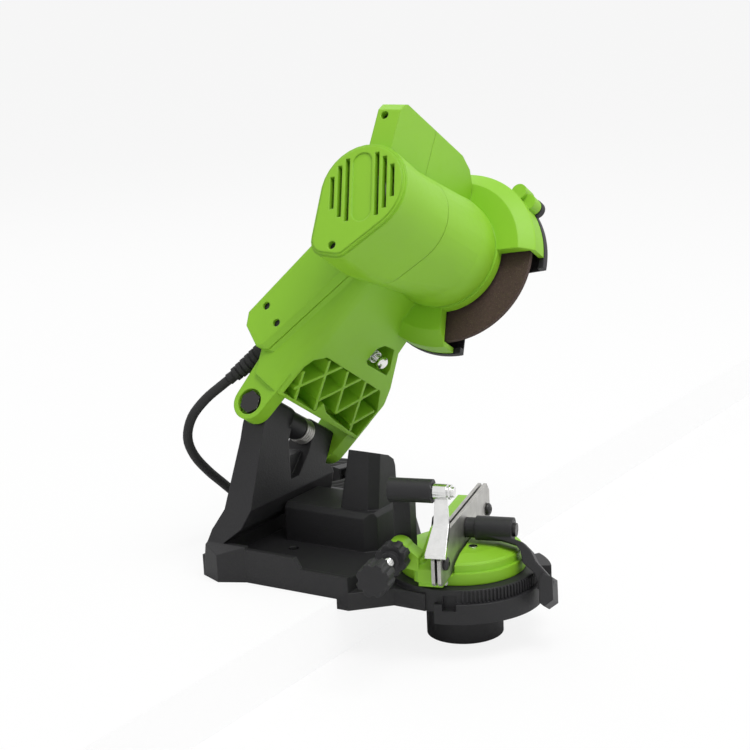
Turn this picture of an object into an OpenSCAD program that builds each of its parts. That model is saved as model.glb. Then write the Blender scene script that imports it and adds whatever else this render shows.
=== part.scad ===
// Bench mounted chain grinder: a motor head that swings down over a turning chain vise
// Millimetres, +Z up, +Y to the rear
// The origin is the middle of the bench screw line, on the bench face

/* [Stance] */
// Distance from the turntable axis back to the bench screws
screw_line_y = 100; // [94:1:106]
// Sideways tilt of the hinge and motor axis, in degrees
head_tilt = 31; // [25:1:35]
// Lean of the arm behind the upright, in degrees
arm_lean = 30; // [24:1:34]
// Distance from the turntable axis back to the hinge
hinge_y = 118.5; // [115:0.5:122]
// Height of the hinge above the bench
hinge_z = 80.4; // [78:0.2:90]
// Turn of the vise from square, in degrees
vise_angle = 15; // [0:1:20]

/* [Base] */
// Half width of the bed
bed_half_w = 64; // [60:1:70]
// Rear edge of the bed from the turntable axis
bed_rear_y = 144; // [142:1:150]
// Front face of the bench hook
bed_front_y = 40; // [36:1:41]
// Face that meets the edge of the bench
bench_edge_y = 48; // [46:1:50]
// Height of the deck top
deck_z = 13; // [12:0.5:15]
// Height of the side walls beside the tower
curb_z = 20.5; // [18:0.5:21]
// Wall of the base moulding
base_wall = 3.5; // [3:0.1:4.5]
// Depth of the bench hook below the bench face
hook_drop = 6; // [5:0.5:8]
// Spacing of the bench screws
screw_spacing = 62; // [58:1:66]
// Radius of the bench screw holes
screw_hole_r = 3.3; // [2.5:0.1:4]
// Radius of the turntable ring
ring_r = 47; // [45:0.5:50]
// Radius of the drum that the turntable sits on
drum_r = 44; // [42:0.5:45]
// Height of the drum top
drum_z = 7.7; // [7:0.1:7.7]

/* [Hinge] */
// Radius of the hinge bolt
hinge_bolt_r = 4; // [3:0.1:5]
// Radius of the rounded tops of the tower
tower_top_r = 13; // [12:0.5:14]
// Distance along the hinge from the middle to the tower's outer faces
tower_out = 37.5; // [37:0.1:37.5]
// Radius of the lugs on the arm
lug_r = 11; // [10:0.5:12]
// Radius of the spring sleeve
sleeve_r = 8; // [7:0.5:9]
// Radius of the return spring wire
spring_wire_r = 0.85; // [0.7:0.05:1]
// Curls of the return spring
spring_curls = 4; // [3:1:5]

/* [Head] */
// Distance from the hinge to the motor axis, along the arm
motor_s = 140.4; // [136:0.2:144]
// Offset of the motor axis to the front of the arm middle
motor_front = 8.1; // [6:0.1:10]
// Radius of the motor barrel at the cap
barrel_r = 28; // [28:0.5:30]
// Radius of the motor barrel at the wheel end
barrel_end_r = 34; // [33:0.5:36]
// Distance of the cap face from the tilted middle plane
cap_x = 103; // [100:0.5:106]
// Where the motor cover meets the main housing
split_x = 53; // [52:0.5:54]
// Depth of the arm's open underside from the hinge line
arm_under = 13; // [12:0.5:14]
// Wall of the head housing
head_wall = 3; // [2.5:0.1:3.2]
// Thickness of the lattice ribs
rib_t = 2; // [1.6:0.1:2.4]

/* [Wheel] */
// Radius of the grinding wheel
wheel_r = 52; // [48:0.5:53]
// Thickness of the grinding wheel
wheel_t = 3.2; // [3:0.1:4.5]
// Distance of the wheel's middle from the tilted middle plane
wheel_x = 13.9; // [13.5:0.1:14.5]
// Outer radius of the guard
guard_r = 56.4; // [56:0.2:58]
// Radius of the spindle
spindle_r = 4; // [3.5:0.1:4.5]

/* [Vise] */
// Radius of the turntable's lower tier
table_r = 37.1; // [36:0.1:38]
// Radius of the turntable's upper tier
table_top_r = 35; // [33:0.5:35.5]
// Height of the top of the rail
rail_top_z = 42; // [40:0.5:43]
// Height of the bottom of the rail
rail_low_z = 14.5; // [13:0.5:16]
// Thickness of each rail plate
plate_t = 2; // [1.5:0.1:2.3]
// Width of the chain slot between the rail plates
slot_t = 1.5; // [1.3:0.1:2]
// Half length of the rail
rail_half = 58; // [54:0.5:60]
// Height of the clamp bolt
lever_z = 31; // [30:0.5:32]
// Radius of the clamp knob under the base
knob_r = 22.8; // [20:0.2:24]
// Height of the clamp knob
knob_h = 19; // [16:0.5:20]

/* [Cord] */
// Diameter of the cord
cord_d = 6; // [5:0.5:6]

/* [Hidden] */
// Gap between moving bodies
gap = 0.3;
// Gap of a running fit at the wall
run_gap = 0.05;
// Overrun of cuts
over = 1;
// Sunk depth where pieces of one solid join
bite = 0.5;
tiny = 0.02;

// Colours
black = [0.11, 0.11, 0.12];
green = [0.48, 0.78, 0.16];
chrome = [0.8, 0.8, 0.82];
steel = [0.62, 0.62, 0.63];
brown = [0.30, 0.20, 0.17];
copper = [0.72, 0.42, 0.22];
white = [0.85, 0.85, 0.82];

// Tower: heights and faces, from bed up
foot_top_z = 22;
flare_mid_z = 31;
flare_top_z = 42;
tower_neck_z = 68;
tower_front_y = hinge_y - 6.5;
flare_mid_y = tower_front_y + 5;
flare_low_y = tower_front_y + 16;
tower_rear_top_y = hinge_y + 9;
tower_rear_mid_y = hinge_y + 12.5;
tower_rear_low_y = bed_rear_y - 6.2;
tower_rear_low_z = 29;
tower_rear_mid_z = 41;
// Front corner that is cut away on the far side
far_cut_x = 20;
far_cut_y = 72;
far_cut_slope = (far_cut_y - bed_front_y) / (bed_half_w - far_cut_x);
far_cut_side = base_wall * sqrt(1 + far_cut_slope * far_cut_slope);
curb_front_y = bed_front_y + 37;
curb_rise = 4;
foot_rear_y = bed_rear_y - 4.5;
curb_rear_y = bed_rear_y - 4.5 * curb_z / foot_top_z;
foot_out = 7;
foot_mid_y = bed_rear_y - 16;
foot_front_y = bed_rear_y - 32;
foot_low_z = 17;
near_mid_x = -bed_half_w + 4;
near_flare_x = -bed_half_w + 8;
near_neck_x = -bed_half_w + 18;
far_flare_x = bed_half_w - 32;
far_mid_x = bed_half_w - 26;
far_foot_x = bed_half_w - 12;
tower_near_axis_x = -tower_out * cos(head_tilt);
tower_near_axis_z = hinge_z + tower_out * sin(head_tilt);
tower_far_axis_x = tower_out * cos(head_tilt);
tower_far_axis_z = hinge_z - tower_out * sin(head_tilt);
fork_near = -11;
fork_far = 16;
fork_low_z = 50;
fork_low_near_x = -13;
fork_low_far_x = -4;
web_front_y = hinge_y - 1;
web_top_z = 62;

// Box and post
box_half_w = 20;
box_front_y = 50;
box_top_z = 37;
box_edge = 3;
box_corner = 6;
post_edge = 6;
post_left_x = -12;
post_right_x = 12;
post_cut_x = 6;
post_front_y = 50;
post_low_front_y = 52;
post_rear_y = 69;
post_low_rear_y = 76;
post_top_z = 73.5;
post_fall_z = 66.5;
post_side_z = 60;

// Turntable ring of the base: a shallow drum with a deeper skirt along its front
ring_low_z = -12;
skirt_from = -172;
skirt_to = -18;
notch_from = -166;
notch_to = -156;
notch_low_z = -4;
hub_r = 13;
stud_r = 5;
ear_r = ring_r + 5;
ear_low_z = -10;
ear_top_z = 5;
ear_from = -58;
ear_to = -32;
neck_top_z = 4.5;
neck_in_x = bed_half_w - 19;
neck_in_y = bed_front_y - 19;

// Legs and lugs of the arm
leg_in = tower_out + 0.5;
leg_out_near = 48.6;
leg_out_far = 49.4;
hinge_hole_r = hinge_bolt_r + run_gap;
lug_recess_r = 4.7 + hinge_bolt_r;
lug_recess = 4;

// Arm: heights along the arm from the hinge
lattice_low_s = 15;
lattice_top_s = 49;
lattice_depth = 16;
window_near_x = 0.9;
arm_back_y = 37;
arm_back_top_y = 30;
arm_low_s = 28;
panel_low_s = 33;
panel_x = 57;
side_x = 51;
arm_top_s = 97;
far_x = 49;
arm_far_top_x = 21;

// Barrel section seen along the motor axis, from the motor axis
egg_low_y = 15.5;
egg_low_z = 31.5;
egg_low_r = 10.5;
egg_front_y = 6.5;
egg_front_z = 33;
egg_front_r = 9.5;
fin_half = 7.5;
fin_top = 57;
fin_x = 95;
cap_rim = 2.5;
cap_edge = 2.2;
oval_r = 6.2;
oval_half = 15;
oval_depth = 0.8;
vent_t = 2.8;
vent_turn = -14;

// Motor pieces
stator_r = 26;
rotor_r = 16;
bearing_r = 11;
bearing_t = 7;
rear_bearing_x = -94;
front_bearing_x = -6;
spindle_end_x = 27;

// Vise heights and places
table_low_z = drum_z + gap;
tier_z = table_low_z + 7;
tier_top_z = tier_z + 4.3;
dome_z = tier_top_z + 7.4;
wall_top_z = 37;
wall_back_y = 13;
wall_face_y = 3;
wall_near_x = -52;
saddle_w = 12;
saddle_r = 7.5;
wall_far_x = 48;
ledge_in = 2;
screw_axis_y = 25;
screw_axis_z = 30.5;

module place() {
  translate([0, -screw_line_y, 0]) children();
}

module head_frame() {
  translate([0, hinge_y - screw_line_y, hinge_z]) rotate([0, head_tilt, 0]) children();
}

module arm_frame() {
  head_frame() rotate([arm_lean, 0, 0]) children();
}

// Motor axis frame: X along the spindle, Y and Z as in the head frame
module motor_frame() {
  arm_frame() translate([0, -motor_front, motor_s]) rotate([-arm_lean, 0, 0]) children();
}

module vise_frame() {
  place() rotate([0, 0, vise_angle]) children();
}

// Cylinder along X between two places
module x_rod(r, from, to, fn = 48) {
  translate([from, 0, 0]) rotate([0, 90, 0]) cylinder(r = r, h = to - from, $fn = fn);
}

module y_rod(r, from, to, fn = 40) {
  translate([0, from, 0]) rotate([-90, 0, 0]) cylinder(r = r, h = to - from, $fn = fn);
}

// Outline in the Y and Z plane pushed along X
module along_x(from, to) {
  translate([from, 0, 0]) rotate([90, 0, 90]) linear_extrude(to - from) children();
}

// Outline in the X and Z plane pushed along Y
module along_y(from, to) {
  translate([0, to, 0]) rotate([90, 0, 0]) linear_extrude(to - from) children();
}

// Knob with scalloped rim about Z
module lobed(r, h, lobes, cut_r) {
  difference() {
    cylinder(r = r, h = h, $fn = 60);
    for (i = [0 : lobes - 1])
      rotate([0, 0, i * 360 / lobes])
        translate([r + cut_r * 0.45, 0, -over])
          cylinder(r = cut_r, h = h + 2 * over, $fn = 24);
  }
}

// Base moulding
module tower_side_2d() {
  polygon([
    [bed_rear_y, 0],
    [foot_rear_y, foot_top_z],
    [tower_rear_low_y, tower_rear_low_z],
    [tower_rear_mid_y, tower_rear_mid_z],
    [tower_rear_top_y, hinge_z],
    [tower_rear_top_y, tower_near_axis_z + tower_top_r],
    [tower_front_y, tower_near_axis_z + tower_top_r],
    [tower_front_y, flare_top_z],
    [flare_mid_y, flare_mid_z],
    [flare_low_y, foot_top_z],
    [flare_low_y, 0]
  ]);
}

module tower_front_2d() {
  polygon([
    [-bed_half_w, 0],
    [-bed_half_w, foot_top_z],
    [near_mid_x, flare_mid_z],
    [near_flare_x, flare_top_z],
    [near_neck_x, tower_neck_z],
    [tower_near_axis_x + bite - tower_top_r * sin(head_tilt) * 0.9,
      tower_near_axis_z - tower_top_r * cos(head_tilt) * 0.9],
    [tower_near_axis_x + bite, tower_near_axis_z],
    [tower_far_axis_x - bite, tower_far_axis_z],
    [tower_far_axis_x - bite - tower_top_r * sin(head_tilt), tower_far_axis_z - tower_top_r * cos(head_tilt)],
    [far_flare_x, flare_top_z + 4],
    [far_mid_x, flare_mid_z],
    [far_foot_x, foot_top_z],
    [bed_half_w, foot_top_z - base_wall],
    [bed_half_w, 0]
  ]);
}

module fork_gap_2d() {
  fork_near_x = fork_near * cos(head_tilt);
  fork_far_x = fork_far * cos(head_tilt);
  polygon([
    [fork_low_near_x, fork_low_z],
    [fork_low_far_x, fork_low_z],
    [fork_far_x - tower_top_r * sin(head_tilt), hinge_z - fork_far * sin(head_tilt) - tower_top_r * cos(head_tilt)],
    [fork_far_x + 2 * tower_top_r * sin(head_tilt),
      hinge_z - fork_far * sin(head_tilt) + 2 * tower_top_r * cos(head_tilt)],
    [fork_near_x + 2 * tower_top_r * sin(head_tilt),
      hinge_z - fork_near * sin(head_tilt) + 2 * tower_top_r * cos(head_tilt)],
    [fork_low_near_x, hinge_z - fork_near * sin(head_tilt) - tower_top_r * cos(head_tilt)]
  ]);
}

module tower_solid() {
  intersection() {
    along_x(-bed_half_w, bed_half_w) tower_side_2d();
    along_y(flare_mid_y - bed_front_y, bed_rear_y) tower_front_2d();
  }
  intersection() {
    head_frame_local() x_rod(tower_rear_top_y - hinge_y, -tower_out, tower_out);
    translate([-2 * bed_half_w, tower_front_y, 0]) cube([4 * bed_half_w, 4 * bed_half_w, 4 * bed_half_w]);
  }
}

// Head frame in machine places, before the shift to the bench screws
module head_frame_local() {
  translate([0, hinge_y, hinge_z]) rotate([0, head_tilt, 0]) children();
}

module bed_solid() {
  linear_extrude(deck_z)
    polygon([
      [-bed_half_w, bed_front_y],
      [far_cut_x, bed_front_y],
      [bed_half_w, far_cut_y],
      [bed_half_w, bed_rear_y],
      [-bed_half_w, bed_rear_y]
    ]);
  translate([-bed_half_w, bed_front_y, -hook_drop])
    cube([bed_half_w + neck_in_x, bench_edge_y - bed_front_y, hook_drop + bite]);
  along_x(-bed_half_w, base_wall - bed_half_w)
    polygon([
      [bed_front_y, 0],
      [bed_front_y, deck_z + over],
      [curb_front_y - curb_rise, deck_z + over],
      [curb_front_y, curb_z],
      [curb_rear_y, curb_z],
      [bed_rear_y, 0]
    ]);
  along_x(bed_half_w - base_wall, bed_half_w)
    polygon([
      [far_cut_y, 0],
      [far_cut_y, deck_z],
      [far_cut_y + curb_rise, curb_z],
      [curb_rear_y, curb_z],
      [bed_rear_y, 0]
    ]);
  along_x(-bed_half_w, bed_half_w)
    polygon([
      [bed_rear_y - base_wall, 0],
      [curb_rear_y - base_wall, curb_z],
      [curb_rear_y, curb_z],
      [bed_rear_y, 0]
    ]);
  // Foot that flares out below the near upright
  intersection() {
    linear_extrude(foot_top_z)
      polygon([
        [-bed_half_w + base_wall, bed_rear_y],
        [-bed_half_w, bed_rear_y],
        [-bed_half_w - foot_out, foot_mid_y],
        [-bed_half_w, foot_front_y],
        [-bed_half_w + base_wall, foot_front_y]
      ]);
    along_y(foot_front_y, bed_rear_y)
      polygon([
        [-bed_half_w - foot_out, 0],
        [-bed_half_w - foot_out, foot_low_z],
        [-bed_half_w, foot_top_z],
        [-bed_half_w + base_wall, foot_top_z],
        [-bed_half_w + base_wall, 0]
      ]);
    along_x(-bed_half_w - foot_out, -bed_half_w + base_wall)
      polygon([[foot_front_y, 0], [foot_front_y, foot_top_z], [foot_rear_y, foot_top_z], [bed_rear_y, 0]]);
  }
}

module neck_2d(inset, rear_y) {
  polygon([
    [-bed_half_w + inset, rear_y],
    [-bed_half_w + inset, bed_front_y],
    [-neck_in_x + inset, neck_in_y],
    [-neck_in_x + inset, 0],
    [neck_in_x - inset, 0],
    [neck_in_x - inset, rear_y]
  ]);
}

module ring_solid() {
  translate([0, 0, -hook_drop]) linear_extrude(hook_drop + bite) neck_2d(0, bench_edge_y);
  linear_extrude(neck_top_z) neck_2d(0, bed_front_y + far_cut_slope * (neck_in_x - far_cut_x) + over);
  translate([0, 0, -hook_drop]) cylinder(r = drum_r, h = hook_drop + drum_z, $fn = 96);
  translate([0, 0, ring_low_z]) cylinder(r = hub_r, h = -ring_low_z, $fn = 48);
  rotate([0, 0, skirt_from])
    rotate_extrude(angle = skirt_to - skirt_from, $fn = 96)
      translate([drum_r - base_wall, ring_low_z])
        square([ring_r - drum_r + base_wall, -ring_low_z]);
  rotate([0, 0, ear_from])
    translate([0, 0, ear_low_z])
      rotate_extrude(angle = ear_to - ear_from, $fn = 96)
        translate([drum_r - over, 0])
          square([ear_r - drum_r + over, ear_top_z - ear_low_z]);
}

module box_solid() {
  intersection() {
    linear_extrude(box_top_z)
      polygon([
        [-box_half_w, box_front_y + box_corner],
        [-box_half_w + box_corner, box_front_y],
        [box_half_w - box_edge, box_front_y],
        [box_half_w, box_front_y + box_edge],
        [box_half_w, tower_front_y + over],
        [-box_half_w, tower_front_y + over]
      ]);
    along_y(box_front_y, tower_front_y + over)
      polygon([
        [-box_half_w, 0],
        [-box_half_w, box_top_z - box_edge],
        [-box_half_w + box_edge, box_top_z],
        [box_half_w - box_edge, box_top_z],
        [box_half_w, box_top_z - box_edge],
        [box_half_w, 0]
      ]);
    along_x(-box_half_w, box_half_w)
      polygon([
        [box_front_y, 0],
        [box_front_y, box_top_z - box_edge],
        [box_front_y + box_edge / 2, box_top_z],
        [tower_front_y + over, box_top_z],
        [tower_front_y + over, 0]
      ]);
  }
  intersection() {
    linear_extrude(post_top_z)
      polygon([
        [-box_half_w, post_front_y + post_edge + (box_half_w + post_left_x)],
        [post_left_x + post_edge, post_front_y - over],
        [box_half_w, post_front_y - over],
        [box_half_w, post_low_rear_y + over],
        [-box_half_w, post_low_rear_y + over]
      ]);
    along_y(box_front_y - over, post_low_rear_y + over)
      polygon([
        [post_left_x - 1.5, box_top_z - bite],
        [post_left_x, post_top_z],
        [post_cut_x - 4, post_fall_z + 2],
        [post_cut_x + 2, post_fall_z - 2],
        [post_cut_x + 4, post_side_z],
        [post_right_x + 1, box_top_z - bite]
      ]);
    along_x(-box_half_w, box_half_w)
      polygon([
        [post_low_front_y, box_top_z - bite],
        [post_front_y, post_top_z + over],
        [post_rear_y, post_top_z + over],
        [post_low_rear_y, box_top_z - bite]
      ]);
  }
}

module base_cuts() {
  // Open underside of the bed
  translate([0, 0, -over])
    linear_extrude(deck_z - base_wall + over)
      polygon([
        [base_wall - bed_half_w, bench_edge_y + base_wall],
        [far_cut_x + (bench_edge_y + base_wall - bed_front_y - far_cut_side) / far_cut_slope,
          bench_edge_y + base_wall],
        [bed_half_w - base_wall, far_cut_y - base_wall * far_cut_slope + far_cut_side],
        [bed_half_w - base_wall, bed_rear_y - 2 * base_wall],
        [base_wall - bed_half_w, bed_rear_y - 2 * base_wall]
      ]);
  // Hollow of the box and the post
  translate([-box_half_w + base_wall, box_front_y + base_wall, -over])
    cube([2 * (box_half_w - base_wall), tower_front_y - box_front_y - 2 * base_wall, box_top_z - base_wall + over]);
  // Hollow of the tower
  translate([near_flare_x + base_wall, flare_low_y, -over])
    cube([far_mid_x - near_flare_x - 2 * base_wall, tower_rear_mid_y - flare_low_y - base_wall + over,
      flare_top_z - base_wall + over]);
  // Hollow of the ring
  difference() {
    translate([0, 0, ring_low_z - over])
      cylinder(r = drum_r - base_wall, h = drum_z - base_wall - ring_low_z + over, $fn = 96);
    translate([0, 0, ring_low_z]) cylinder(r = hub_r, h = drum_z - ring_low_z, $fn = 48);
  }
  // Notch in the skirt and drum
  rotate([0, 0, notch_from])
    translate([0, 0, notch_low_z])
      rotate_extrude(angle = notch_to - notch_from, $fn = 96)
        translate([drum_r - base_wall / 2, 0])
          square([base_wall + ring_r - drum_r, drum_z - notch_low_z - base_wall]);
  // Fork between the uprights
  along_y(tower_front_y - over - tower_top_r, web_front_y) fork_gap_2d();
  difference() {
    along_y(web_front_y - tiny, bed_rear_y + over) fork_gap_2d();
    translate([-bed_half_w, web_front_y - over, 0])
      cube([2 * bed_half_w, bed_rear_y - web_front_y + 2 * over, web_top_z]);
  }
}

module base() {
  color(black)
    place()
      difference() {
        union() {
          difference() {
            union() {
              bed_solid();
              ring_solid();
              tower_solid();
              box_solid();
            }
            base_cuts();
          }
          for (side = [-1, 1])
            translate([side * screw_spacing / 2, screw_line_y, 0])
              cylinder(r = 2 * screw_hole_r, h = deck_z - bite, $fn = 32);
          head_frame_local() x_rod(sleeve_r, fork_near - bite, 5);
        }
        for (side = [-1, 1])
          translate([side * screw_spacing / 2, screw_line_y, -over])
            cylinder(r = screw_hole_r, h = deck_z + 2 * over, $fn = 32);
        head_frame_local() x_rod(hinge_hole_r, -tower_out - over, tower_out + over, 32);
        translate([0, 0, ring_low_z - over])
          cylinder(r = stud_r + run_gap, h = drum_z - ring_low_z + 2 * over, $fn = 48);
        translate([0, 0, ring_low_z - over])
          cylinder(r = hub_r + over, h = over + tiny, $fn = 48);
      }
}

// Hinge bolt with its nut
module hinge_bolt() {
  color(black)
    head_frame() {
      x_rod(hinge_bolt_r, -leg_out_near + lug_recess - bite, leg_out_far + 6);
      x_rod(hinge_bolt_r + 3, -leg_out_near + 0.5, -leg_out_near + lug_recess, 6);
    }
}

module hinge_nut() {
  color(steel)
    head_frame()
      difference() {
        x_rod(hinge_bolt_r + 3, leg_out_far + gap, leg_out_far + 5, 6);
        x_rod(hinge_bolt_r + run_gap / 2, leg_out_far - over, leg_out_far + 6 + over);
      }
}

// One unbroken tube wound on the sleeve
spring_from = 5.9;
spring_pitch = 2.2;
spring_in_r = hinge_bolt_r + 2.5 + spring_wire_r;
spring_rings = 8 * spring_curls;

function spring_point(i) = [
  spring_from + spring_wire_r + spring_pitch * i / 8,
  spring_in_r * cos(i * 45),
  spring_in_r * sin(i * 45)
];

function tube_points(path, r, sides, up) = [
  for (i = [0 : len(path) - 1])
    let (a = path[max(i - 1, 0)])
    let (b = path[min(i + 1, len(path) - 1)])
    let (t = (b - a) / norm(b - a))
    let (u0 = cross(t, up[i]))
    let (u = u0 / norm(u0))
    let (v = cross(u, t))
    for (k = [0 : sides - 1])
      path[i] + r * (cos(k * 360 / sides) * u + sin(k * 360 / sides) * v)
];

function tube_faces(n, sides) = concat(
  [[for (k = [0 : sides - 1]) k]],
  [for (i = [0 : n - 2]) for (k = [0 : sides - 1])
    let (a = i * sides + k)
    let (b = i * sides + (k + 1) % sides)
    [a, a + sides, b]],
  [for (i = [0 : n - 2]) for (k = [0 : sides - 1])
    let (a = i * sides + k)
    let (b = i * sides + (k + 1) % sides)
    [b, a + sides, b + sides]],
  [[for (k = [sides - 1 : -1 : 0]) (n - 1) * sides + k]]
);

module tube(path, r, sides, up) {
  polyhedron(tube_points(path, r, sides, up), tube_faces(len(path), sides));
}

module return_spring() {
  coil = [for (i = [0 : spring_rings]) spring_point(i)];
  ups = [for (i = [0 : len(coil) - 1]) [1, 0, 0]];
  color(steel) head_frame() tube(coil, spring_wire_r, 6, ups);
}

// Arm outlines, X along the spindle and Z along the arm
module arm_front_2d() {
  polygon([
    [-side_x, lattice_low_s],
    [-side_x, arm_top_s + 10],
    [arm_far_top_x, arm_top_s + 10],
    [arm_far_top_x, arm_top_s - 11],
    [arm_far_top_x + 1.5, arm_top_s - 22],
    [40, lattice_top_s + 5],
    [far_x, lattice_top_s - 11],
    [far_x, lattice_low_s]
  ]);
}

module arm_side_2d() {
  polygon([
    [-arm_under, lattice_low_s],
    [-arm_under, arm_top_s + 12],
    [arm_back_top_y - 2, arm_top_s + 12],
    [arm_back_top_y, arm_top_s],
    [arm_back_y, 40],
    [arm_back_y - 5, panel_low_s],
    [15.5, arm_low_s],
    [8, lattice_low_s]
  ]);
}

// Arm section across its length, with round front corners
arm_round = 9;
arm_far_round = 4;

module arm_section_2d() {
  polygon(concat(
    [for (q = [0 : 15 : 90])
      [-side_x + arm_round - arm_round * cos(q), -arm_under + arm_round - arm_round * sin(q)]],
    [for (q = [0 : 15 : 90])
      [far_x - arm_far_round + arm_far_round * sin(q), -arm_under + arm_far_round - arm_far_round * cos(q)]],
    [[far_x, arm_back_y - 6], [far_x - 6, arm_back_y]],
    [[-side_x, arm_back_y]]));
}

module panel_side_2d(spread) {
  polygon([
    [12.8 - spread, panel_low_s - 1],
    [1 - spread, 95],
    [1 - spread, arm_top_s + 10],
    [arm_back_top_y - 1, arm_top_s + 10],
    [arm_back_top_y, arm_top_s],
    [arm_back_y - 1, 40],
    [arm_back_y - 6, panel_low_s],
    [15.5, arm_low_s]
  ]);
}

module leg_2d(reach) {
  hull() {
    circle(r = lug_r, $fn = 40);
    translate([2, reach]) square([26, 1], center = true);
  }
}

// Lattice ribs on the open underside, as outlines in X and Z
lattice_ribs_shares = [
  [[-0.87, 0.46], [-0.33, 1]],
  [[-0.30, 0.46], [0.19, 1]],
  [[0.23, 0.46], [0.66, 1]],
  [[0.68, 0.42], [0.93, 0.74]],
  [[-0.94, 0.70], [-0.69, 0.34]],
  [[-0.64, 0.98], [-0.2, 0.36]],
  [[-0.16, 0.99], [0.23, 0.46]],
  [[0.32, 1], [0.77, 0.36]]
];

module rib_2d(a, b) {
  d = b - a;
  translate(a) rotate(atan2(d[1], d[0])) translate([0, -rib_t / 2]) square([norm(d), rib_t]);
}

module lattice_pocket_2d() {
  polygon([
    [-far_x + 4.5, lattice_low_s + 2],
    [-far_x + 4.5, lattice_top_s - 12],
    [-far_x + 7, lattice_top_s - 6],
    [-far_x + 16, lattice_top_s],
    [33, lattice_top_s],
    [44.6, lattice_top_s - 12],
    [44.6, lattice_low_s + 2],
    [16, lattice_low_s + 3],
    [2, lattice_low_s + 5],
    [-6, lattice_low_s + 9],
    [-8, lattice_low_s + 2]
  ]);
}

// Barrel section about the motor axis
module egg_2d(extra) {
  hull() {
    translate([0, -1]) circle(r = barrel_r + extra, $fn = 32);
    translate([egg_low_y, -egg_low_z]) circle(r = egg_low_r + extra, $fn = 20);
    translate([egg_front_y, -egg_front_z]) circle(r = egg_front_r + extra, $fn = 20);
  }
}

module barrel_solid() {
  // Cap end to the arm
  along_x(-cap_x, -cap_x + cap_rim) egg_2d(-cap_edge);
  along_x(-cap_x + cap_rim / 3, -cap_x + cap_rim) egg_2d(-cap_edge / 2.5);
  along_x(-cap_x + cap_rim, -fin_x + 25) egg_2d(0);
  // Round barrel widening to the wheel end
  hull() {
    along_x(-fin_x + 25, -fin_x + 26) egg_2d(0);
    x_rod(barrel_end_r, -16, -15, 40);
  }
  rotate([0, 90, 0])
    rotate_extrude($fn = 72)
      polygon([
        [0, -16],
        [barrel_end_r, -16],
        [barrel_end_r + 0.8, -12],
        [barrel_end_r + 0.8, -2],
        [barrel_end_r - 1, 4],
        [barrel_end_r - 5, 8],
        [0, 8]
      ]);
}

module fin_solid() {
  along_y(-fin_half, fin_half)
    polygon([
      [-fin_x, 0],
      [-fin_x, fin_top - 6],
      [-fin_x + 3, fin_top - 1.5],
      [-fin_x + 6, fin_top],
      [-18, fin_top],
      [-6, fin_top - 4],
      [1, fin_top - 11],
      [3, fin_top - 18],
      [3, 0]
    ]);
}

guard_from = 170.5;
guard_far_x = 22;
guard_boss_angle = 135;
guard_lump_angle = 127;
guard_boss_at = guard_r + 2;
guard_boss_r = 5;
guard_boss_x = 13;
guard_lump_x = 10;

// Guard about the motor axis, open toward the chain
module guard_solid() {
  rotate([0, 90, 0])
    rotate_extrude($fn = 96)
      polygon([
        [0, 3],
        [48, 3],
        [guard_r - 0.9, 9],
        [guard_r, 10],
        [guard_r, guard_far_x],
        [0, guard_far_x]
      ]);
}

module head_outer() {
  arm_frame() {
    intersection() {
      along_y(-arm_under, arm_back_y) arm_front_2d();
      along_x(-side_x, far_x) arm_side_2d();
      translate([0, 0, -over]) linear_extrude(arm_top_s + 30) arm_section_2d();
    }
    // Raised panel on the near side with its bevelled edge
    hull() {
      along_x(-panel_x, -panel_x + tiny) panel_side_2d(0);
      along_x(-side_x, -side_x + bite) panel_side_2d(panel_x - side_x);
    }
    // Legs
    along_x(-leg_out_near, -leg_in) leg_2d(arm_low_s);
    along_x(leg_in, leg_out_far) leg_2d(arm_low_s);
  }
  motor_frame() {
    barrel_solid();
    fin_solid();
    guard_solid();
    // Boss that takes the guard screw, with a smaller one beside it
    translate([0, guard_boss_at * cos(guard_boss_angle), guard_boss_at * sin(guard_boss_angle)])
      x_rod(guard_boss_r, guard_boss_x, guard_far_x, 32);
    translate([0, guard_boss_at * cos(guard_lump_angle), guard_boss_at * sin(guard_lump_angle)])
      x_rod(guard_boss_r, guard_lump_x, guard_far_x, 32);
  }
}

// Window of the guard where the wheel shows, about the motor axis
module guard_opening() {
  reach = 3 * guard_r;
  along_x(3 - over, 22 + over)
    polygon([
      [0, 0],
      [reach * cos(guard_from), reach * sin(guard_from)],
      [reach * cos(215), reach * sin(215)],
      [reach * cos(260), reach * sin(260)]
    ]);
}

module head_cuts() {
  motor_frame() {
    // Motor room
    x_rod(stator_r + 0.5, -cap_x + 4, -9, 64);
    x_rod(bearing_r, -12, -3, 40);
    x_rod(spindle_r + 1.5, -4, 30, 32);
    // Wheel room
    x_rod(wheel_r + 1.2, 9.5, 22 + over, 96);
    x_rod(20, 5, 12, 48);
    intersection() {
      guard_opening();
      difference() {
        x_rod(3 * guard_r, 3 - 2 * over, 22 + over, 48);
        x_rod(barrel_end_r + 0.5, 3 - 3 * over, 9, 64);
      }
    }
  }
  arm_frame() {
    // Lattice pockets
    difference() {
      along_y(-arm_under - over, -arm_under + lattice_depth) lattice_pocket_2d();
      along_y(-arm_under, -arm_under + lattice_depth + over)
        for (rib = lattice_ribs_shares)
          rib_2d(
            [rib[0][0] * (far_x - 4), rib[0][1] * lattice_top_s],
            [rib[1][0] * (far_x - 4), rib[1][1] * lattice_top_s]);
    }
    // Window for the depth screw
    along_y(-arm_under - over, -arm_under + 14)
      polygon([[0.9, 60.2], [4.7, 58.6], [27.5, 59.5], [26, 64], [16.3, 75.3], [6, 74.2], [1.4, 69.9]]);
    // Hinge bores and the recesses of the bolt
    x_rod(hinge_hole_r, -leg_out_near - over, leg_out_far + over, 32);
    x_rod(hinge_bolt_r + 4, -leg_out_near - over, -leg_out_near + lug_recess, 32);
  }
}

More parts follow.
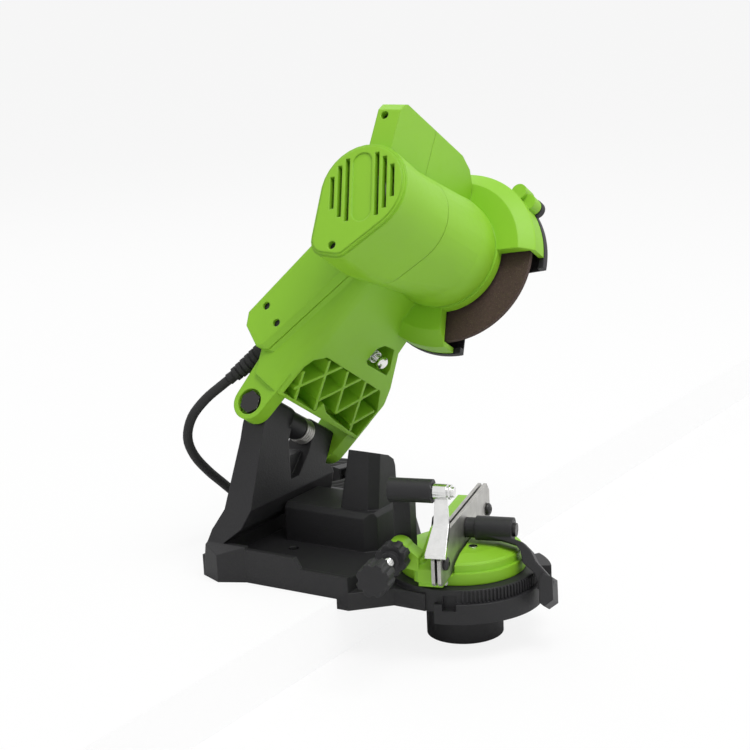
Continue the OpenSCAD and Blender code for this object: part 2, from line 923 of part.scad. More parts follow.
module housing() {
  color(green)
    difference() {
      head_outer();
      head_cuts();
      relief_seat();
      depth_bore();
      cover_screw_wells();
      arm_frame() translate([far_x - 9, switch_y - 7, switch_s - 11]) cube([12, 14, 22]);
      head_frame() translate([-4 * cap_x - split_x, -3 * cap_x, -3 * cap_x]) cube([4 * cap_x, 6 * cap_x, 6 * cap_x]);
    }
}

module motor_cover() {
  color(green)
    difference() {
      intersection() {
        head_outer();
        head_frame()
          translate([-4 * cap_x - split_x - gap, -3 * cap_x, -3 * cap_x])
            cube([4 * cap_x, 6 * cap_x, 6 * cap_x]);
      }
      head_cuts();
      cover_screw_wells();
      // Vents in the cap
      motor_frame()
        rotate([vent_turn, 0, 0]) {
          for (vent = [[-19.3, 20], [-14.4, 32], [-9.5, 39], [9.5, 39], [14.4, 32], [19.3, 20]])
            translate([-cap_x - over, vent[0] - vent_t / 2, -vent[1] / 2])
              cube([6, vent_t, vent[1]]);
          // Shallow oval in the middle of the cap
          along_x(-cap_x - over, -cap_x + oval_depth) {
            translate([0, oval_half]) circle(r = oval_r, $fn = 40);
            translate([0, -oval_half]) circle(r = oval_r, $fn = 40);
            translate([-oval_r, -oval_half]) square([2 * oval_r, 2 * oval_half]);
          }
        }
    }
}

// Black cover on the outer side of the guard
module wheel_cover() {
  color(black)
    motor_frame()
      difference() {
        union() {
          x_rod(guard_r + 0.4, guard_far_x + gap, 27, 96);
          translate([0, guard_boss_at * cos(guard_boss_angle), guard_boss_at * sin(guard_boss_angle)])
            x_rod(guard_boss_r + 0.4, guard_far_x + gap, 27, 32);
        }
        x_rod(wheel_r + 1.2, 22, 26, 96);
        guard_opening_cover();
        x_rod(6, 22, 30, 32);
      }
}

module guard_opening_cover() {
  reach = 3 * guard_r;
  along_x(20, 30)
    polygon([
      [-8, -8],
      [reach * cos(guard_from), reach * sin(guard_from)],
      [reach * cos(215), reach * sin(215)],
      [reach * cos(260), reach * sin(260)]
    ]);
}

// Wheel set on the motor axis
module spindle() {
  color(steel)
    motor_frame() x_rod(spindle_r, -cap_x + 6, spindle_end_x - 2);
}

module rotor() {
  color(steel)
    motor_frame()
      difference() {
        x_rod(rotor_r, -72, -30);
        x_rod(spindle_r + tiny, -73, -29);
      }
}

module commutator() {
  color(copper)
    motor_frame()
      difference() {
        x_rod(9, -86, -76);
        x_rod(spindle_r + tiny, -87, -75);
      }
}

module fan() {
  color(black)
    motor_frame()
      difference() {
        union() {
          x_rod(9, -27, -15);
          x_rod(22, -17, -15);
          for (i = [0 : 8])
            rotate([i * 40, 0, 0]) translate([-25, -0.6, 7]) cube([9, 1.2, 15]);
        }
        x_rod(spindle_r + tiny, -28, -14);
      }
}

module inner_flange() {
  color(steel)
    motor_frame()
      difference() {
        x_rod(12, 7.8, wheel_x - wheel_t / 2 - tiny);
        x_rod(spindle_r + tiny, 6, 16);
      }
}

module grinding_wheel() {
  color(brown)
    motor_frame()
      difference() {
        x_rod(wheel_r, wheel_x - wheel_t / 2, wheel_x + wheel_t / 2, 96);
        x_rod(spindle_r + tiny, 6, 20);
      }
}

module outer_flange() {
  color(steel)
    motor_frame()
      difference() {
        x_rod(12, wheel_x + wheel_t / 2 + tiny, 18.5);
        x_rod(spindle_r + tiny, 6, 20);
      }
}

module wheel_nut() {
  color(steel)
    motor_frame()
      difference() {
        x_rod(7, 18.5 + tiny, 22.5, 6);
        x_rod(spindle_r + tiny, 16, 26);
      }
}

module stator() {
  color(copper)
    motor_frame()
      difference() {
        x_rod(stator_r, -74, -28);
        x_rod(rotor_r + 0.6, -75, -27);
      }
}

module rear_bearing() {
  color(steel)
    motor_frame()
      difference() {
        x_rod(bearing_r, rear_bearing_x, rear_bearing_x + bearing_t);
        x_rod(spindle_r + run_gap, rear_bearing_x - over, rear_bearing_x + bearing_t + over);
      }
}

module front_bearing() {
  color(steel)
    motor_frame()
      difference() {
        x_rod(bearing_r, -11, -4);
        x_rod(spindle_r + run_gap, -12, -3);
      }
}

// Turntable with its wall and saddle
module turntable() {
  color(green)
    vise_frame()
      difference() {
        union() {
          translate([0, 0, table_low_z]) cylinder(r = table_r, h = tier_z - table_low_z, $fn = 96);
          translate([0, 0, tier_z - bite]) cylinder(r = table_top_r, h = tier_top_z - tier_z + bite, $fn = 96);
          translate([0, 0, tier_top_z - bite])
            rotate_extrude($fn = 96)
              polygon([[0, 0], [table_top_r - 1, 0], [table_top_r - 2, 1.2], [22, 3.4], [0, 4.1]]);
          // Upright wall behind the rail
          along_y(wall_face_y, wall_back_y)
            polygon([
              [wall_near_x, rail_low_z],
              [wall_near_x, rail_low_z + 8],
              [-22, wall_top_z],
              [wall_far_x - 6, wall_top_z],
              [wall_far_x, rail_low_z + 10],
              [wall_far_x, rail_low_z]
            ]);
          // Ledge under the rail
          translate([wall_near_x + ledge_in, -1, rail_low_z - 3])
            cube([wall_far_x - wall_near_x - ledge_in, wall_back_y + 1, 3]);
          // Boss at the near end
          translate([wall_near_x + 7, wall_back_y, deck_z + 2 * gap]) cylinder(r = 4, h = 13.4, $fn = 32);
          // Saddle that carries the adjusting screw
          along_x(wall_near_x, wall_near_x + saddle_w) {
            translate([screw_axis_y, screw_axis_z]) circle(r = saddle_r, $fn = 40);
            polygon([
              [wall_back_y - over, screw_axis_z - 1.3 * saddle_r],
              [wall_back_y - over, screw_axis_z - 0.2 * saddle_r],
              [screw_axis_y - 0.7 * saddle_r, screw_axis_z + 0.6 * saddle_r],
              [screw_axis_y, screw_axis_z - 0.9 * saddle_r]
            ]);
          }
        }
        // Slot for the rail, with room for the front plate to open
        along_y(front_plate_y - 1.5, wall_face_y)
          polygon([
            [-rail_half - over, rail_low_z - gap],
            [rail_half + over, rail_low_z - gap],
            [rail_half + over, rail_top_z + over],
            [-rail_half - over, rail_top_z + over]
          ]);
        translate([-10, -9, tier_top_z - 2]) cylinder(r = 2.6 + tiny, h = 8, $fn = 24);
        rotate([0, 0, 180])
          translate([table_r - 3 - tiny, -0.6 - tiny, table_low_z + 1 - tiny]) cube([8, 1.2 + 2 * tiny, 5 + 2 * tiny]);
        // Bores
        translate([0, 0, table_low_z - over]) cylinder(r = stud_r + run_gap, h = 10, $fn = 40);
        translate([0, 0, lever_z]) y_rod(4 + run_gap, wall_face_y - over, wall_back_y + over);
        translate([0, 25, 30.5]) x_rod(3.1 + run_gap, wall_near_x - over, wall_near_x + 14, 32);
      }
}

module pivot_stud() {
  color(steel)
    place()
      translate([0, 0, ring_low_z - 12]) cylinder(r = stud_r, h = 12 - ring_low_z + table_low_z + 5, $fn = 48);
}

// Rail
rail_gap_y = slot_t / 2;

module rail_2d() {
  polygon([
    [-rail_half, rail_low_z + 2],
    [-rail_half + 2, rail_low_z],
    [rail_half - 2, rail_low_z],
    [rail_half, rail_low_z + 2],
    [rail_half, rail_top_z - 6],
    [rail_half - 6, rail_top_z],
    [-rail_half + 13, rail_top_z],
    [-rail_half, rail_top_z - 12]
  ]);
}

rear_plate_y = wall_face_y - gap / 10;
rear_plate_face_y = rear_plate_y - plate_t;
front_plate_back_y = rear_plate_face_y - slot_t;
front_plate_y = front_plate_back_y - plate_t;

module rail_plate_rear() {
  color(steel)
    vise_frame()
      difference() {
        along_y(rear_plate_face_y, rear_plate_y) rail_2d();
        translate([0, 0, lever_z]) y_rod(4 + run_gap, rear_plate_face_y - over, rear_plate_y + over);
        for (side = [-1, 1])
          translate([side * 50, 0, 26]) y_rod(1.8 + run_gap, rear_plate_face_y - over, rear_plate_y + over, 24);
      }
}

module rail_plate_front() {
  color(steel)
    vise_frame()
      difference() {
        along_y(front_plate_y, front_plate_back_y) rail_2d();
        translate([0, 0, lever_z]) y_rod(4 + run_gap, front_plate_y - over, front_plate_back_y + over);
        for (side = [-1, 1])
          translate([side * 50, 0, 26]) y_rod(1.8 + run_gap, front_plate_y - over, front_plate_back_y + over, 24);
      }
}

module clamp_bolt() {
  color(black)
    vise_frame()
      translate([0, 0, lever_z]) {
        y_rod(4, -33, wall_back_y + 4);
        y_rod(7, wall_back_y + tiny, wall_back_y + 4, 6);
      }
}

module rail_screws() {
  color(black)
    vise_frame()
      for (side = [-1, 1])
        translate([side * 50, 0, 26]) {
          y_rod(1.8, front_plate_y - 1, wall_face_y + 1, 24);
          y_rod(4, front_plate_y - 3, front_plate_y - 0.5, 32);
        }
}

lever_lean = 27;

module clamp_lever() {
  color(black)
    vise_frame()
      difference() {
        union() {
          translate([0, 0, lever_z]) {
            y_rod(6, -9, front_plate_y - gap);
            y_rod(7.2, -31, -9 + tiny);
          }
          // Web and arm down to the grip, leaning to the near side
          translate([0, 0, lever_z])
            rotate([0, lever_lean, 0]) {
              along_x(-5, 5)
                polygon([
                  [-16, -5.2],
                  [-30.4, -5.2],
                  [-38, -7.6],
                  [-43, -12],
                  [-46.5, -18],
                  [-58, -29],
                  [-58, -34],
                  [-48.6, -34],
                  [-48.6, -30],
                  [-46.2, -25],
                  [-39, -19.5],
                  [-37, -12.5],
                  [-34, -9.2],
                  [-26, -7.2]
                ]);
              along_x(-8, 8)
                polygon([
                  [-50, -27.5],
                  [-52, -25],
                  [-57.5, -27],
                  [-59, -40],
                  [-54, -44],
                  [-51, -42]
                ]);
            }
        }
        translate([0, 0, lever_z]) y_rod(4 + run_gap, -35, 0);
      }
}

module clamp_knob() {
  color(black)
    place()
      difference() {
        union() {
          translate([0, 0, ring_low_z - gap - 2]) cylinder(r = 14, h = 2, $fn = 48);
          translate([0, 0, ring_low_z - gap - 2 - knob_h]) cylinder(r = knob_r, h = knob_h + tiny, $fn = 72);
        }
        translate([0, 0, ring_low_z - 14]) cylinder(r = stud_r + run_gap, h = 14 + over, $fn = 48);
      }
}

// Pawl and its carrier
pawl_x = -43;
pawl_z = 66;

module pawl_carrier() {
  color(black)
    vise_frame()
      difference() {
        union() {
          translate([pawl_x, 0, pawl_z]) y_rod(6.8, 4.5, 30);
          translate([-38, 20, 22]) cube([12, 10, pawl_z - 22 - 4]);
          translate([pawl_x - 2, 20, pawl_z - 7]) cube([17, 10, 7]);
        }
        translate([pawl_x, 0, pawl_z]) y_rod(3 + run_gap, 3, 26, 32);
        translate([0, screw_axis_y, screw_axis_z]) x_rod(3.1 + run_gap, -39, -25, 32);
      }
}

module pawl_pin() {
  color(chrome)
    vise_frame() translate([pawl_x, 0, pawl_z]) y_rod(3, -8, 26, 32);
}

module pawl() {
  color(chrome)
    vise_frame()
      difference() {
        union() {
          translate([pawl_x, 0, pawl_z]) y_rod(4.5, -4, 4, 32);
          hull() {
            translate([pawl_x, 0, pawl_z - 5]) cube([2, 7, 2], center = true);
            translate([pawl_x - 4, -1, 48]) cube([2, 9, 2], center = true);
          }
          hull() {
            translate([pawl_x - 4, -1, 48]) cube([2, 9, 2], center = true);
            translate([-62, -1, 34]) cube([2, 12, 2], center = true);
          }
        }
        translate([pawl_x, 0, pawl_z]) y_rod(3 + run_gap, -6, 6, 32);
      }
}

module adjusting_screw() {
  color(chrome)
    vise_frame() translate([0, screw_axis_y, screw_axis_z]) x_rod(3.1, -90, -27, 32);
}

module star_knob() {
  color(black)
    vise_frame()
      translate([-97, screw_axis_y, screw_axis_z])
        rotate([0, 90, 0])
          difference() {
            lobed(9.6, 12, 8, 2.4);
            translate([0, 0, 7 - tiny]) cylinder(r = 3.1 + tiny, h = 10, $fn = 32);
          }
}

module lock_knob() {
  color(black)
    vise_frame()
      translate([-66, screw_axis_y, screw_axis_z])
        rotate([0, 90, 0])
          difference() {
            union() {
              translate([0, 0, 3]) lobed(9.3, 9, 8, 2.4);
              cylinder(r = 5.5, h = 4, $fn = 32);
            }
            translate([0, 0, -over]) cylinder(r = 3.1 + run_gap, h = 20, $fn = 32);
          }
}

// Screws seen in the caps
module cover_screws() {
  color(black) {
    motor_frame() {
      translate([0, 9.8, -35.8]) x_rod(2.4, -cap_x + 3, -cap_x + 9, 24);
      translate([0, 2.5, 47.5]) x_rod(2.4, -fin_x + 4, -fin_x + 10, 24);
    }
    arm_frame() {
      translate([0, 28.6, 49.8]) x_rod(2.4, -panel_x + 2, -panel_x + 8, 24);
      translate([0, 14.7, 46.4]) x_rod(2.4, -panel_x + 2, -panel_x + 8, 24);
    }
  }
}

module cover_screw_wells() {
  motor_frame() {
    translate([0, 9.8, -35.8]) x_rod(2.4 + run_gap, -cap_x - over, -cap_x + 9, 24);
    translate([0, 2.5, 47.5]) x_rod(2.4 + run_gap, -fin_x - over, -fin_x + 10, 24);
  }
  arm_frame() {
    translate([0, 28.6, 49.8]) x_rod(2.4 + run_gap, -panel_x - over, -panel_x + 8, 24);
    translate([0, 14.7, 46.4]) x_rod(2.4 + run_gap, -panel_x - over, -panel_x + 8, 24);
  }
}

module brush_holders() {
  color(copper)
    motor_frame()
      for (side = [-1, 1])
        translate([-84, side < 0 ? -24 : 9 + run_gap, -3]) cube([6, 15 - run_gap, 6]);
}

// Cord gland in the lower end of the arm
relief_dir_y = 0.264;
relief_l = 28;
relief_tilt = asin(relief_dir_y);
relief_x = -42;
relief_y = 20;
relief_s = 27;

module relief_frame() {
  arm_frame() translate([relief_x, relief_y, relief_s]) rotate([180 + relief_tilt, 0, 0]) children();
}

module strain_relief() {
  color(black)
    relief_frame()
      rotate_extrude($fn = 32)
        polygon(concat(
          [[0, -4], [cord_d / 2 + 3.5, -4], [cord_d / 2 + 3.5, 0]],
          [for (k = [0 : 5]) for (q = [[0, 0], [2.6, 0], [2.6, -1.1], [3.9, -1.1]])
            [cord_d / 2 + 3.2 + q[1] * 0.9 - k * 0.36, 1 + k * 3.9 + q[0]]],
          [[cord_d / 2 + 0.6, relief_l], [0, relief_l]]));
}

module relief_seat() {
  relief_frame() {
    translate([0, 0, -4 - tiny]) cylinder(r = cord_d / 2 + 3.5 + tiny, h = 4 + 2 * tiny, $fn = 32);
    cylinder(r = cord_d / 2 + 3.5 + gap, h = 12, $fn = 32);
    translate([-7 - tiny, -5 - tiny, -12 - tiny]) cube([14 + 2 * tiny, 10 + 2 * tiny, 8 + 2 * tiny]);
  }
}

module cable_clamp() {
  color(black)
    relief_frame()
      translate([-7, -5, -12]) cube([14, 10, 8 - tiny]);
}

// Depth stop screw with its spring
depth_x = 8;
depth_s = 65;

module depth_screw() {
  color(chrome)
    arm_frame()
      translate([depth_x, 0, depth_s])
        union() {
          y_rod(2.5, -arm_under - 4, arm_back_y - 4, 32);
          y_rod(4, -arm_under - 7, -arm_under - 4 + tiny, 32);
          y_rod(7, arm_back_y - 2, arm_back_y + 6, 40);
          y_rod(3.5, arm_back_y - 5, arm_back_y - 1, 32);
        }
}

module depth_bore() {
  arm_frame()
    translate([depth_x, 0, depth_s]) {
      y_rod(2.5 + run_gap, -arm_under - over, arm_back_y + over, 32);
      y_rod(8, arm_back_y - 6, arm_back_y + 8, 32);
    }
}

module scale_pointer() {
  color(white)
    vise_frame()
      rotate([0, 0, 180]) translate([table_r - 3, -0.6, table_low_z + 1]) cube([6, 1.2, 5]);
}

module dome_screw() {
  color(chrome)
    vise_frame() translate([-10, -9, tier_top_z - 2]) cylinder(r = 2.6, h = 6, $fn = 24);
}

module pin_clip() {
  color(chrome)
    vise_frame()
      translate([pawl_x, 0, pawl_z])
        difference() {
          y_rod(4.2, -6.2, -5, 24);
          y_rod(3 + tiny, -9, 0, 24);
        }
}

// Switch on the far side of the arm
switch_y = 12;
switch_s = 26;

module switch_frame() {
  color(black)
    arm_frame()
      translate([far_x - 9, switch_y, switch_s])
        difference() {
          translate([0, -7, -11]) cube([10.5, 14, 22]);
          translate([3, -5, -9]) cube([10, 10, 18]);
          translate([8, 0, 0]) y_rod(1 + run_gap, -6.2, 6.2, 24);
        }
}

module switch_rocker() {
  color(black)
    arm_frame()
      translate([far_x - 1, switch_y, switch_s])
        union() {
          along_y(-4.7, 4.7) polygon([[4, -8.3], [2.2, 0], [2.6, 8.3], [-1.5, 8], [-1.5, -8]]);
          y_rod(1, -6, 6, 24);
        }
}

// Cord: route of the free stretch, from the strain relief to the coil
cord_route = [
  [-29.05, 142.5, 113.45],
  [-31.1, 146.5, 110.1],
  [-36, 156, 101.5],
  [-39, 165, 90],
  [-37, 171, 76],
  [-28, 174, 62],
  [-14, 175, 48],
  [2, 176, 35],
  [18, 177, 22],
  [33, 180, 11.5],
  [48, 187.5, 5.4],
  [61, 194.5, 4.2]
];
coil_x = 105;
coil_y = 170;

function bez(p, i, t) =
  let (a = p[max(i - 1, 0)])
  let (b = p[i])
  let (c = p[i + 1])
  let (d = p[min(i + 2, len(p) - 1)])
  0.5 * (2 * b + (c - a) * t + (2 * a - 5 * b + 4 * c - d) * t * t + (3 * b - a - 3 * c + d) * t * t * t);

tie_t = 1.2;
coil_gap = 0.5;
coil_pitch = cord_d + coil_gap;
coil_loops = 8;
coil_out_r = 43;
coil_z = tie_t + cord_d / 2;
coil_rings = coil_loops * 24;
coil_start = 120;

function coil_r(t) = coil_out_r - coil_pitch * (t < coil_loops / 2 ? t : coil_loops - t);
function coil_lift(t) = t < coil_loops / 2 - 0.25 ? 0 : t > coil_loops / 2 + 0.25 ? 1 : 2 * (t - coil_loops / 2) + 0.5;
function coil_at(t) = [
  coil_x + coil_r(t) * cos(coil_start - 360 * t),
  coil_y + coil_r(t) * sin(coil_start - 360 * t),
  coil_z + (cord_d + coil_gap) * coil_lift(t)
];
function coil_dir(t) = [sin(coil_start - 360 * t), -cos(coil_start - 360 * t), 0];
coil_in = coil_at(0) - cord_d * coil_dir(0);
coil_lead = 36;
coil_out = coil_at(coil_loops) + coil_lead * coil_dir(coil_loops);

module cord() {
  free = concat(
    [for (i = [0 : len(cord_route) - 2]) for (k = [0 : 1]) bez(cord_route, i, k / 2)],
    [coil_in - cord_d * coil_dir(0), coil_in]);
  color(black) place() tube(free, cord_d / 2, 8, [for (i = [0 : len(free) - 1]) [0.3, 0.2, 1]]);
}

module cord_coil() {
  wound = concat(
    [coil_in],
    [for (i = [0 : coil_rings]) coil_at(i / 24)],
    [coil_out - coil_lead * 0.5 * coil_dir(coil_loops), coil_out]);
  color(black) place() tube(wound, cord_d / 2, 6, [for (i = [0 : len(wound) - 1]) [0, 0, 1]]);
}

module cord_tie() {
  high = 2 * coil_pitch + 2 * tie_t;
  low_r = coil_out_r - coil_pitch * coil_loops / 2 - cord_d / 2 - 1;
  color(black)
    place()
      translate([coil_x, coil_y, 0])
        rotate([0, 0, -20])
          difference() {
            translate([low_r - tie_t, -4, 0]) cube([coil_out_r + cord_d / 2 + 1 - low_r + 2 * tie_t, 8, high]);
            translate([low_r, -4 - over, tie_t])
              cube([coil_out_r + cord_d / 2 + 1 - low_r, 8 + 2 * over, high - 2 * tie_t]);
          }
}

module plug_frame() {
  end_angle = coil_start - 360 * coil_loops;
  place() translate(coil_out) rotate([0, 0, end_angle - 90]) children();
}

module plug() {
  color(black)
    plug_frame()
      difference() {
        union() {
          x_rod(cord_d / 2 + 1.5, 0, 14, 24);
          translate([10, -13, -9]) cube([26, 26, 18]);
          x_rod(9, 8, 12, 32);
        }
        for (side = [-1, 1]) translate([0, side * 9.5, 0]) x_rod(2.4 + tiny, 30, 40, 24);
      }
}

module plug_pins() {
  color(chrome)
    plug_frame()
      for (side = [-1, 1]) translate([0, side * 9.5, 0]) x_rod(2.4, 30, 36 + 19, 24);
}

base();
hinge_bolt();
hinge_nut();
return_spring();
housing();
motor_cover();
wheel_cover();
spindle();
rotor();
commutator();
fan();
inner_flange();
grinding_wheel();
outer_flange();
wheel_nut();
stator();
rear_bearing();
front_bearing();
turntable();
pivot_stud();
rail_plate_rear();
rail_plate_front();
clamp_bolt();
rail_screws();
clamp_lever();
clamp_knob();
pawl_carrier();
pawl_pin();
pawl();
adjusting_screw();
star_knob();
lock_knob();
cover_screws();
brush_holders();
strain_relief();
cable_clamp();
depth_screw();
scale_pointer();
dome_screw();
pin_clip();
switch_frame();
switch_rocker();
cord();
cord_coil();
cord_tie();
plug();
plug_pins();
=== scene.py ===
import math

import bmesh
import bpy
from mathutils import Matrix, Vector


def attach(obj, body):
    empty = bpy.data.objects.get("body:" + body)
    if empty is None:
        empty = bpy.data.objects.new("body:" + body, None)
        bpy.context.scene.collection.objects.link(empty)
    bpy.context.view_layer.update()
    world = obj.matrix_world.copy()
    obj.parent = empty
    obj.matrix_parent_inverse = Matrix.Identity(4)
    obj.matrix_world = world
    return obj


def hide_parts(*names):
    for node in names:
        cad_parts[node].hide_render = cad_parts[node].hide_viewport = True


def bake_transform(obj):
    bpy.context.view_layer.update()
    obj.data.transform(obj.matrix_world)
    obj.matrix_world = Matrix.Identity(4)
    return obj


bl_info = {
    "name": "Chain sharpener dressing",
    "version": (1, 0, 0),
    "blender": (4, 5, 0),
    "location": "View3D > Sidebar > Sharpener",
    "description": "Cord, springs, threads, screws, finishes and stage for the packed chain sharpener",
    "category": "Object",
}

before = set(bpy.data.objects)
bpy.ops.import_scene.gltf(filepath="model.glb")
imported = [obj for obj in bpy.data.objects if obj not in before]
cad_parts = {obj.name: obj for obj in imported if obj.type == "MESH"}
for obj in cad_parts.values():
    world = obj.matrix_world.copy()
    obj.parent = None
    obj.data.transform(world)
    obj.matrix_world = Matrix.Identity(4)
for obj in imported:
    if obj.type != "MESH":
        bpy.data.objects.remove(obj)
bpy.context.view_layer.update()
MM = 0.001


# Places of the machine, from the same sizes as the part's source

def turned(degrees, axis):
    """A turn about one axis."""
    return Matrix.Rotation(math.radians(degrees), 4, axis)


def moved(x, y, z):
    """A move by millimetres."""
    return Matrix.Translation(Vector((x, y, z)) * MM)


BENCH_TO_VISE = 100
HINGE_Y, HINGE_Z = 118.5, 80.4
TILT = 31
LEAN = 30
VISE_TURN = 15
MOTOR_FRONT, MOTOR_UP = 8.1, 140.4
EDGE_Y = 48
MACHINE = moved(0, -BENCH_TO_VISE, 0)
HEAD = moved(0, HINGE_Y - BENCH_TO_VISE, HINGE_Z) @ turned(TILT, "Y")
ARM = HEAD @ turned(LEAN, "X")
MOTOR = ARM @ moved(0, -MOTOR_FRONT, MOTOR_UP) @ turned(-LEAN, "X")
VISE = MACHINE @ turned(VISE_TURN, "Z")
ALONG_Y = turned(90, "Z")
BENCH_EDGE = (EDGE_Y - BENCH_TO_VISE) * MM
DEPTH_SCREW = ARM @ moved(8, 0, 65) @ ALONG_Y
ADJUSTING_SCREW = VISE @ moved(0, 25, 30.5)


# Sizes and colours that a user would change

class CameraSizes(bpy.types.PropertyGroup):
    lens: bpy.props.FloatProperty(
        name="Lens", description="Focal length on a 36 mm sensor", default=86.31, min=20, max=300)
    azimuth: bpy.props.FloatProperty(
        name="Azimuth", description="Angle round the machine, from its front", default=-57.21)
    elevation: bpy.props.FloatProperty(
        name="Elevation", description="Angle above the horizon", default=13.51)
    roll: bpy.props.FloatProperty(
        name="Roll", description="Turn of the picture about the view", default=-2.59)
    distance: bpy.props.FloatProperty(
        name="Distance", description="Distance from the vise axis along the view",
        default=1.06368, unit="LENGTH")
    aside: bpy.props.FloatProperty(
        name="Aside", description="How far the camera stands to the left of the vise axis",
        default=0.05244, unit="LENGTH")
    above: bpy.props.FloatProperty(
        name="Above", description="How far the camera stands above the vise axis",
        default=0.11931, unit="LENGTH")


class CordSizes(bpy.types.PropertyGroup):
    diameter: bpy.props.FloatProperty(
        name="Cord diameter", description="Outer diameter of the mains cord",
        default=0.006, unit="LENGTH")
    length: bpy.props.FloatProperty(
        name="Cord length", description="Length from the strain relief to the plug",
        default=1.8, unit="LENGTH")
    coil_radius: bpy.props.FloatProperty(
        name="Coil radius", description="Radius of the outer turn at the middle of the cord",
        default=0.043, unit="LENGTH")
    loops: bpy.props.IntProperty(
        name="Coil turns", description="Turns of the coil, half of them in each layer", default=8)
    sides: bpy.props.IntProperty(
        name="Cord sides", description="Faces round the cord", default=14, min=6)


class SpringSizes(bpy.types.PropertyGroup):
    wire: bpy.props.FloatProperty(
        name="Return spring wire", description="Radius of the return spring's wire",
        default=0.00085, unit="LENGTH")
    radius: bpy.props.FloatProperty(
        name="Return spring radius", description="Radius at the middle of the wire",
        default=0.00735, unit="LENGTH")
    pitch: bpy.props.FloatProperty(
        name="Return spring pitch", description="Step of each turn along the hinge",
        default=0.0022, unit="LENGTH")
    turns: bpy.props.IntProperty(
        name="Return spring turns", description="Turns of the return spring", default=4)
    depth_wire: bpy.props.FloatProperty(
        name="Depth spring wire", description="Radius of the wire round the depth screw",
        default=0.00045, unit="LENGTH")


class ThreadSizes(bpy.types.PropertyGroup):
    pitch: bpy.props.FloatProperty(
        name="Thread pitch", description="Step of the threads on the two long screws",
        default=0.00125, unit="LENGTH")
    depth: bpy.props.FloatProperty(
        name="Thread depth", description="Depth of the thread groove",
        default=0.00045, unit="LENGTH")


def paint(name, description, default):
    """A colour that the panel shows."""
    return bpy.props.FloatVectorProperty(
        name=name, description=description, subtype="COLOR", size=3, min=0, max=1, default=default)


class FinishColours(bpy.types.PropertyGroup):
    green: paint("Green plastic", "Mouldings of the head and turntable", (0.250, 0.53, 0.022))
    black: paint("Black plastic", "Mouldings of the base, knobs and covers", (0.0125, 0.0122, 0.0135))
    rubber: paint("Cord rubber", "Cord, strain relief and plug", (0.016, 0.016, 0.017))
    steel: paint("Plate steel", "Rail plates, flanges and stud", (0.47, 0.46, 0.44))
    chrome: paint("Bright plating", "Pawl, pins and screws", (0.76, 0.76, 0.75))
    dark: paint("Blackened steel", "Bolts and socket screws", (0.022, 0.021, 0.021))
    abrasive: paint("Abrasive", "Grinding wheel", (0.062, 0.036, 0.026))
    copper: paint("Copper", "Windings and commutator", (0.60, 0.27, 0.12))
    white: paint("Pointer", "Pointer of the angle scale", (0.78, 0.78, 0.74))


class StageSizes(bpy.types.PropertyGroup):
    floor: paint("Floor", "Colour of the bench and floor", (0.90, 0.90, 0.90))
    spread: bpy.props.FloatProperty(
        name="Floor reach", description="How far the floor runs from the machine",
        default=14.0, unit="LENGTH")
    drop: bpy.props.FloatProperty(
        name="Floor drop", description="Floor in front of the bench, below the bench face",
        default=0.0345, unit="LENGTH")
    sky: bpy.props.FloatProperty(
        name="Room light", description="Strength of the even light from all round",
        default=0.50, min=0, max=1)
    key: bpy.props.FloatProperty(
        name="Key light", description="Power of the large lamp overhead",
        default=17.0, unit="POWER")
    fill: bpy.props.FloatProperty(
        name="Fill light", description="Power of the low lamp on the right",
        default=2.2, unit="POWER")
    rim: bpy.props.FloatProperty(
        name="Rim light", description="Power of the lamp behind", default=5.0, unit="POWER")


class Sharpener(bpy.types.PropertyGroup):
    camera: bpy.props.PointerProperty(type=CameraSizes)
    cord: bpy.props.PointerProperty(type=CordSizes)
    spring: bpy.props.PointerProperty(type=SpringSizes)
    thread: bpy.props.PointerProperty(type=ThreadSizes)
    colours: bpy.props.PointerProperty(type=FinishColours)
    stage: bpy.props.PointerProperty(type=StageSizes)


# Forms

def ring(place, x, radius, sides=32, corners=0):
    """A ring of points round the X axis of a place, in millimetres; with corners, a ring of flats."""
    points = []
    for k in range(sides):
        angle = math.tau * k / sides
        reach = radius
        if corners:
            step = math.tau / corners
            reach = radius * math.cos(step / 2) / math.cos(angle % step - step / 2)
        points.append(place @ (Vector((x, reach * math.cos(angle), reach * math.sin(angle))) * MM))
    return points


def skin(shape, rings):
    """Joins rings of as many points each into one closed solid of a shape."""
    loops = [[shape.verts.new(point) for point in points] for points in rings]
    count = len(loops[0])
    for low, high in zip(loops, loops[1:]):
        for k in range(count):
            n = (k + 1) % count
            shape.faces.new((low[k], low[n], high[n], high[k]))
    shape.faces.new(loops[0][::-1])
    shape.faces.new(loops[-1])


def lathe(shape, place, profile, sides=32):
    """Turns a profile of (x, radius) or (x, radius, corners) round the X axis of a place."""
    skin(shape, [ring(place, x, radius, sides, *corners) for x, radius, *corners in profile])


def tube(shape, path, radius, sides):
    """A round tube along a path in metres."""
    rings = []
    side = None
    for i, here in enumerate(path):
        ahead = (path[min(i + 1, len(path) - 1)] - path[max(i - 1, 0)]).normalized()
        side = ahead.orthogonal() if side is None else side - ahead * side.dot(ahead)
        side.normalize()
        across = ahead.cross(side)
        rings.append([
            here + radius * (
                math.cos(math.tau * k / sides) * side + math.sin(math.tau * k / sides) * across)
            for k in range(sides)
        ])
    skin(shape, rings)


def helix(place, start, radius, pitch, turns, steps=24):
    """Points of a helix round the X axis of a place, in metres."""
    return [
        place @ Vector((
            start + pitch * i / steps,
            radius * math.cos(math.tau * i / steps),
            radius * math.sin(math.tau * i / steps)))
        for i in range(turns * steps + 1)
    ]


